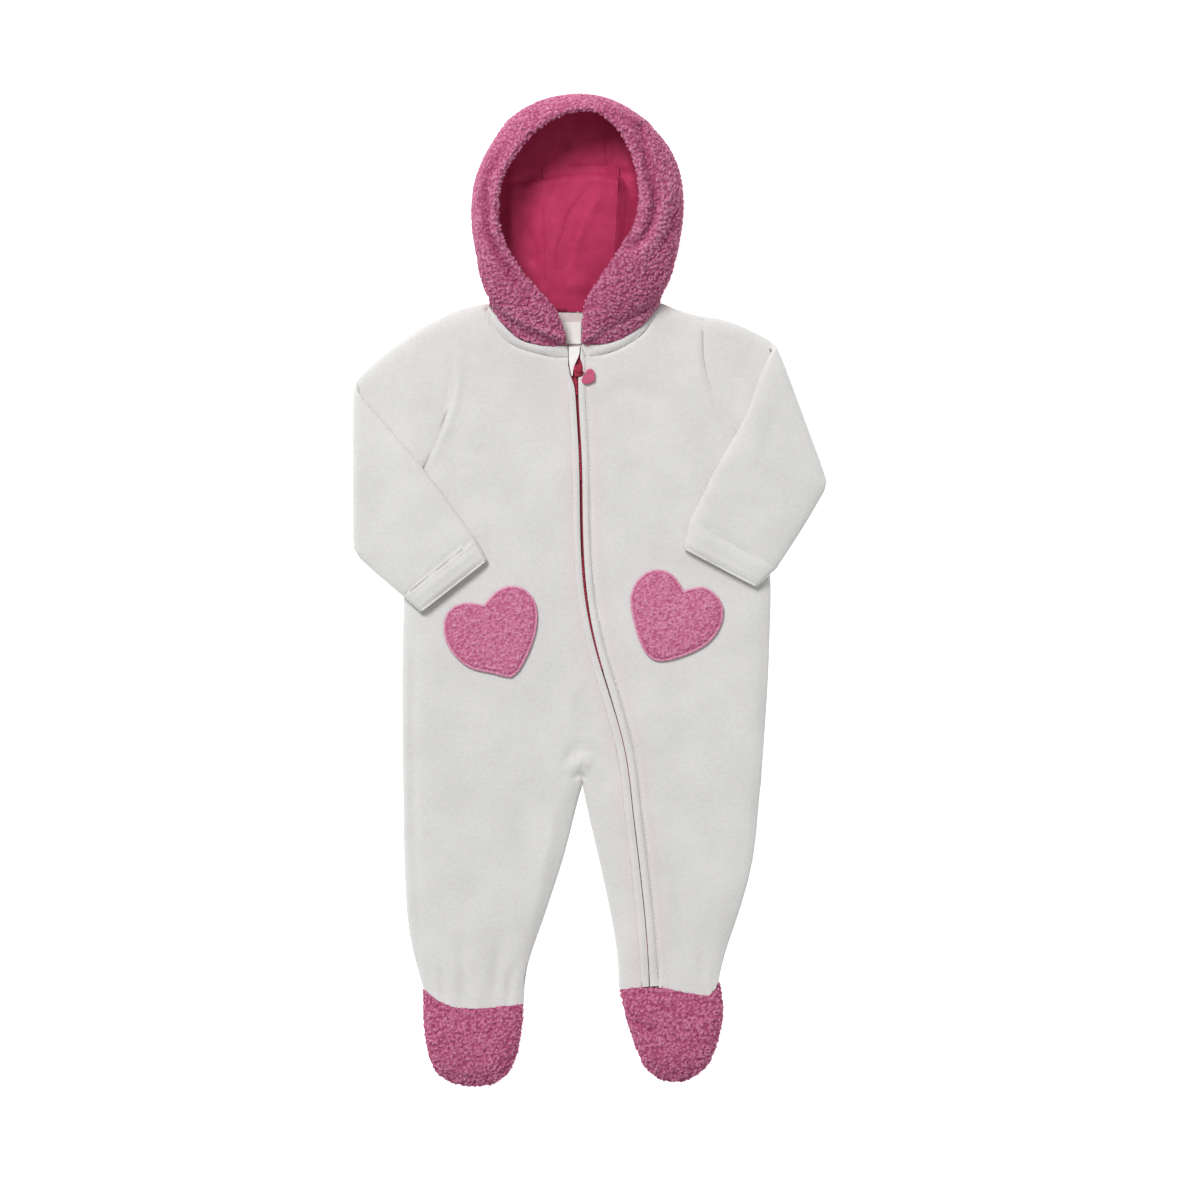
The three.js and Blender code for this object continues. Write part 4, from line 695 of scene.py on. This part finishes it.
def wall_outline(node):
    """The outline of a flat pad in mm, as the longest edge of each face of its upright wall."""
    mesh = nodes[node].data
    corners = [(v.co.x / MM, v.co.y / MM) for v in mesh.vertices]
    outline = set()
    for face in mesh.polygons:
        if abs(face.normal.z) < UPRIGHT_RISE:
            ring = list(face.vertices)
            sides = [(corners[a], corners[b]) for a, b in zip(ring, ring[1:] + ring[:1])]
            outline.add(max(sides, key=lambda side: math.dist(*side)))
    return outline


def shape_pile(piece, points, normals):
    """Curls wherever the pile can be seen, on the folds of the hood and the feet."""
    seen = open_points(points, normals)
    height = np.zeros(len(points))
    height[seen] = curls(points[seen], CURL_MM)
    grow = PILE_MM * np.where(seen, height - CURL_MIDDLE, 0)
    grow *= np.where(normals[:, 2] < -0.5, PRESSED_PILE, 1)
    fold = fold_heights(points[:, 0], points[:, 1], HOOD_FOLDS) * upward(normals)
    points[:, 2] += fold
    # The pile's colour value: the curl height, which paints light on the tips and shade between the curls,
    # with painted light on ridges and painted shade in the creases of the folds
    shade = np.clip(height + PILE_SHADE_PER_MM * fold, 0, 1)
    set_attribute(piece, "pile", np.where(seen, shade, HIDDEN_PILE))
    moved = points + normals * grow[:, None]
    moved[:, 2] = np.maximum(moved[:, 2], 0)
    return moved


def shape_patch(piece, points, normals, node):
    """Curls within a rim of close satin stitches, on the folds of the front."""
    x, y = points[:, 0], points[:, 1]
    inside = np.min([distance_to_path(x, y, side)[0] for side in wall_outline(node)], axis=0)
    top = normals[:, 2] > 0.2
    height = np.where(top, curls(points, PATCH_CURL_MM), PATCH_CURL_MIDDLE)
    rim = np.clip((RIM_MM - inside) / RIM_SOFT_MM, 0, 1)
    groove = np.exp(-((inside - RIM_MM - GROOVE_MM) / GROOVE_MM) ** 2)
    round_rim = np.sqrt(np.clip(1 - ((inside - RIM_MM / 2) / (RIM_MM / 2)) ** 2, 0, 1))
    curled = TRIMMED_PILE * PILE_MM * (height - PATCH_CURL_MIDDLE) - GROOVE_DEPTH_MM * groove
    grow = np.where(top, (1 - rim) * curled + rim * RIM_RISE_MM * round_rim, 0)
    # The patch's colour value: painted light on the curl tips and painted shade between them and in the
    # needle's groove; the rim of satin stitches takes a light tone with a painted highlight along its
    # rounded crown
    shade = (1 - rim) * (height - 0.5 * groove) + rim * (0.75 + 0.25 * round_rim)
    set_attribute(piece, "pile", np.clip(shade, 0, 1))
    points[:, 2] += lay(points, BODY_FOLDS)
    return points + normals * grow[:, None]


def tint_beside_zip(piece, points):
    """How much of the crimson tape shows through the cloth beside the welts."""
    d = distance_to_path(points[:, 0], points[:, 1], beside_zip(BLUSH_SHIFT_MM))[0]
    set_attribute(piece, "blush", np.exp(-((d - BLUSH_AT_MM) / BLUSH_WIDTH_MM) ** 2))


def shaped(piece, cut, points, normals):
    """The piece's points in mm after its cloth has been laid, folded or curled."""
    if cut.cloth in ("front", "back"):
        return shape_velour(points, normals, BODY_FOLDS)
    if cut.cloth in ("sleeve", "cuff"):
        return shape_velour(points, normals, SLEEVE_FOLDS)
    if cut.cloth in ("rider", "welt", "tape", "satin"):
        return shape_rider(points, normals, cut.cloth == "rider")
    if cut.cloth == "lining":
        return shape_lining(points, normals)
    if cut.cloth == "sherpa":
        return shape_pile(piece, points, normals)
    if cut.cloth == "patch":
        return shape_patch(piece, points, normals, cut.node)
    return points


pieces = {}
for cut in CUTS:
    pieces[cut.node] = rounded("cloth_" + cut.node, merged(nodes[cut.node]), CLOTHS[cut.cloth].levels)
cloth_tree = ray_tree(pieces.values())

for cut in CUTS:
    cloth = CLOTHS[cut.cloth]
    piece = pieces[cut.node]
    fine = cloth.fine if FULL_DETAIL else cloth.fine * QUICK_COARSER
    has_pile = cut.cloth in ("sherpa", "patch")
    if has_pile:
        make_even(piece, fine)
    else:
        refine_open(piece, fine)
    points = shaped(piece, cut, *read_points(piece))
    if cut.cloth in ("front", "rider", "welt"):
        tint_beside_zip(piece, points)
    write_points(piece, points)
    dress(piece, cloth.material, rims=not has_pile)
    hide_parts(cut.node)
    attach(piece, "garment")

# Hard parts of the zip keep their own form
for name, material in (("zip_slider", crimson_lacquer), ("pull_link", crimson_lacquer),
                       ("pull_heart", pink_lacquer)):
    nodes[name].data.materials.clear()
    nodes[name].data.materials.append(material)


# Small repeated trim: the zip's closed coil, and lines of stitches. Each bead has its pitch, its
# size along and across its line and upwards, and its rise above the cloth
COIL_PITCH_MM = 1.3
COIL_MM = (1.15, 2.4, 1.7)
COIL_RISE_MM = 0.8
STITCH_PITCH_MM = 3.2
STITCH_MM = (2.1, 0.5, 0.36)
STITCH_RISE_MM = -0.16

# Rays start above every piece, and this many steps make the line from one point to the next
RAY_START_MM = 90
CURVE_STEPS = 24


def steps_along(path, pitch):
    """Places every so many mm along a smooth line through the points, with the way it runs there."""
    knots = [np.array(p, dtype=float) for p in path]
    knots = [2 * knots[0] - knots[1], *knots, 2 * knots[-1] - knots[-2]]
    line = []
    for a, b, c, d in zip(knots, knots[1:], knots[2:], knots[3:]):
        for t in np.linspace(0, 1, CURVE_STEPS, endpoint=False):
            line.append(0.5 * (2 * b + (c - a) * t + (2 * a - 5 * b + 4 * c - d) * t ** 2
                               + (3 * b - a - 3 * c + d) * t ** 3))
    line = np.array([*line, knots[-2]])
    walked = np.concatenate([[0], np.cumsum(np.hypot(*np.diff(line, axis=0).T))])
    places = np.arange(pitch / 2, walked[-1], pitch)
    xs, ys = (np.interp(places, walked, line[:, axis]) for axis in (0, 1))
    before = [np.interp(places - 0.5, walked, line[:, axis]) for axis in (0, 1)]
    after = [np.interp(places + 0.5, walked, line[:, axis]) for axis in (0, 1)]
    turns = np.arctan2(after[1] - before[1], after[0] - before[0])
    return zip(xs, ys, turns)


def bead_row(name, lines, pitch, size, rise, tree, material):
    """One small rounded bead at each step of each line, lying on the cloth below it."""
    bm = bmesh.new()
    for path in lines:
        for x, y, turn in steps_along(path, pitch):
            hit, normal, _, _ = tree.ray_cast(Vector((x, y, RAY_START_MM)) * MM, Vector((0, 0, -1)))
            if hit is None:
                continue
            lying = Vector((0, 0, 1)).rotation_difference(normal).to_matrix().to_4x4()
            middle = Matrix.Translation(hit + normal * (size[2] / 2 + rise) * MM)
            sides = Matrix.Diagonal((*(side * MM for side in size), 1))
            place = middle @ lying @ Matrix.Rotation(turn, 4, "Z") @ sides
            bmesh.ops.create_icosphere(bm, subdivisions=1, radius=0.5, matrix=place)
    piece = new_piece(name, bm)
    dress(piece, material)
    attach(piece, "garment")


TOPSTITCH = [
    # Outer edge of the wearer's left welt
    beside_zip(7.4),
    # Neck band, both sides of the zip, and the hem bands of the sleeves
    spots([(506, 305), (520, 330), (545, 348), (562, 353)]),
    spots([(597, 353), (620, 348), (640, 330), (655, 305)]),
    spots([(478, 541), (410, 596)]),
    spots([(686, 545), (756, 578)]),
]
tapes_tree = ray_tree([pieces["zip_tape_left"], pieces["zip_tape_right"]])
bead_row("zip_coil", [ZIP_LINE], COIL_PITCH_MM, COIL_MM, COIL_RISE_MM, tapes_tree, crimson_coil)
bead_row("topstitch", TOPSTITCH, STITCH_PITCH_MM, STITCH_MM, STITCH_RISE_MM, ray_tree(pieces.values()),
         cream_thread)


# Floor, light and camera: half the floor's side in m, its drop below the part, and its own glow
FLOOR_HALF_SIDE = 40
FLOOR_DROP_MM = 0.4
FLOOR_GLOW = 0.7
WORLD_LIGHT = 0.38
CAMERA_HEIGHT = 2
CAMERA_REACH = 10


def make_floor():
    bm = bmesh.new()
    bmesh.ops.create_grid(bm, x_segments=1, y_segments=1, size=FLOOR_HALF_SIDE)
    bmesh.ops.translate(bm, verts=bm.verts, vec=(0, 0, -FLOOR_DROP_MM * MM))
    floor = new_piece("floor", bm)
    material, tree = new_material("white_paper")
    grain = add_node(tree, "ShaderNodeTexNoise", {"Scale": period(3), "Detail": 2.0})
    colour = ramp(tree, grain.outputs["Fac"], [(0.3, "#FFFFFF"), (0.7, "#FDFDFD")])
    shader = add_node(tree, "ShaderNodeBsdfPrincipled", {
        "Base Color": colour.outputs["Color"], "Roughness": 0.9, "Emission Color": linear("#FFFFFF"),
        "Emission Strength": FLOOR_GLOW})
    floor.data.materials.append(finish_material(material, tree, shader))


def make_light(name, place, size, watts):
    """A round lamp that points at the part; its place and its size are in m."""
    data = bpy.data.lights.new(name, "AREA")
    data.shape = "DISK"
    data.size = size
    data.energy = watts
    lamp = bpy.data.objects.new(name, data)
    lamp.location = place
    lamp.rotation_euler = (-Vector(place)).to_track_quat("-Z", "Y").to_euler()
    bpy.context.scene.collection.objects.link(lamp)


def make_camera():
    data = bpy.data.cameras.new("camera")
    data.type = "ORTHO"
    data.ortho_scale = IMAGE_SIDE * PIXEL_MM * MM
    data.clip_end = CAMERA_REACH
    camera = bpy.data.objects.new("camera", data)
    camera.location = (0, 0, CAMERA_HEIGHT)
    bpy.context.scene.collection.objects.link(camera)
    bpy.context.scene.camera = camera


def make_world():
    world = bpy.data.worlds.new("studio")
    world.use_nodes = True
    sky = world.node_tree.nodes["Background"]
    sky.inputs["Color"].default_value = (1, 1, 1, 1)
    sky.inputs["Strength"].default_value = WORLD_LIGHT
    bpy.context.scene.world = world


make_floor()
make_light("window", place=(-2.2, 3.7, 4.9), size=2.6, watts=352)
make_light("reflector", place=(1.6, -1.4, 2.0), size=1.6, watts=4)
make_world()
bpy.context.scene.view_settings.view_transform = "Standard"
make_camera()
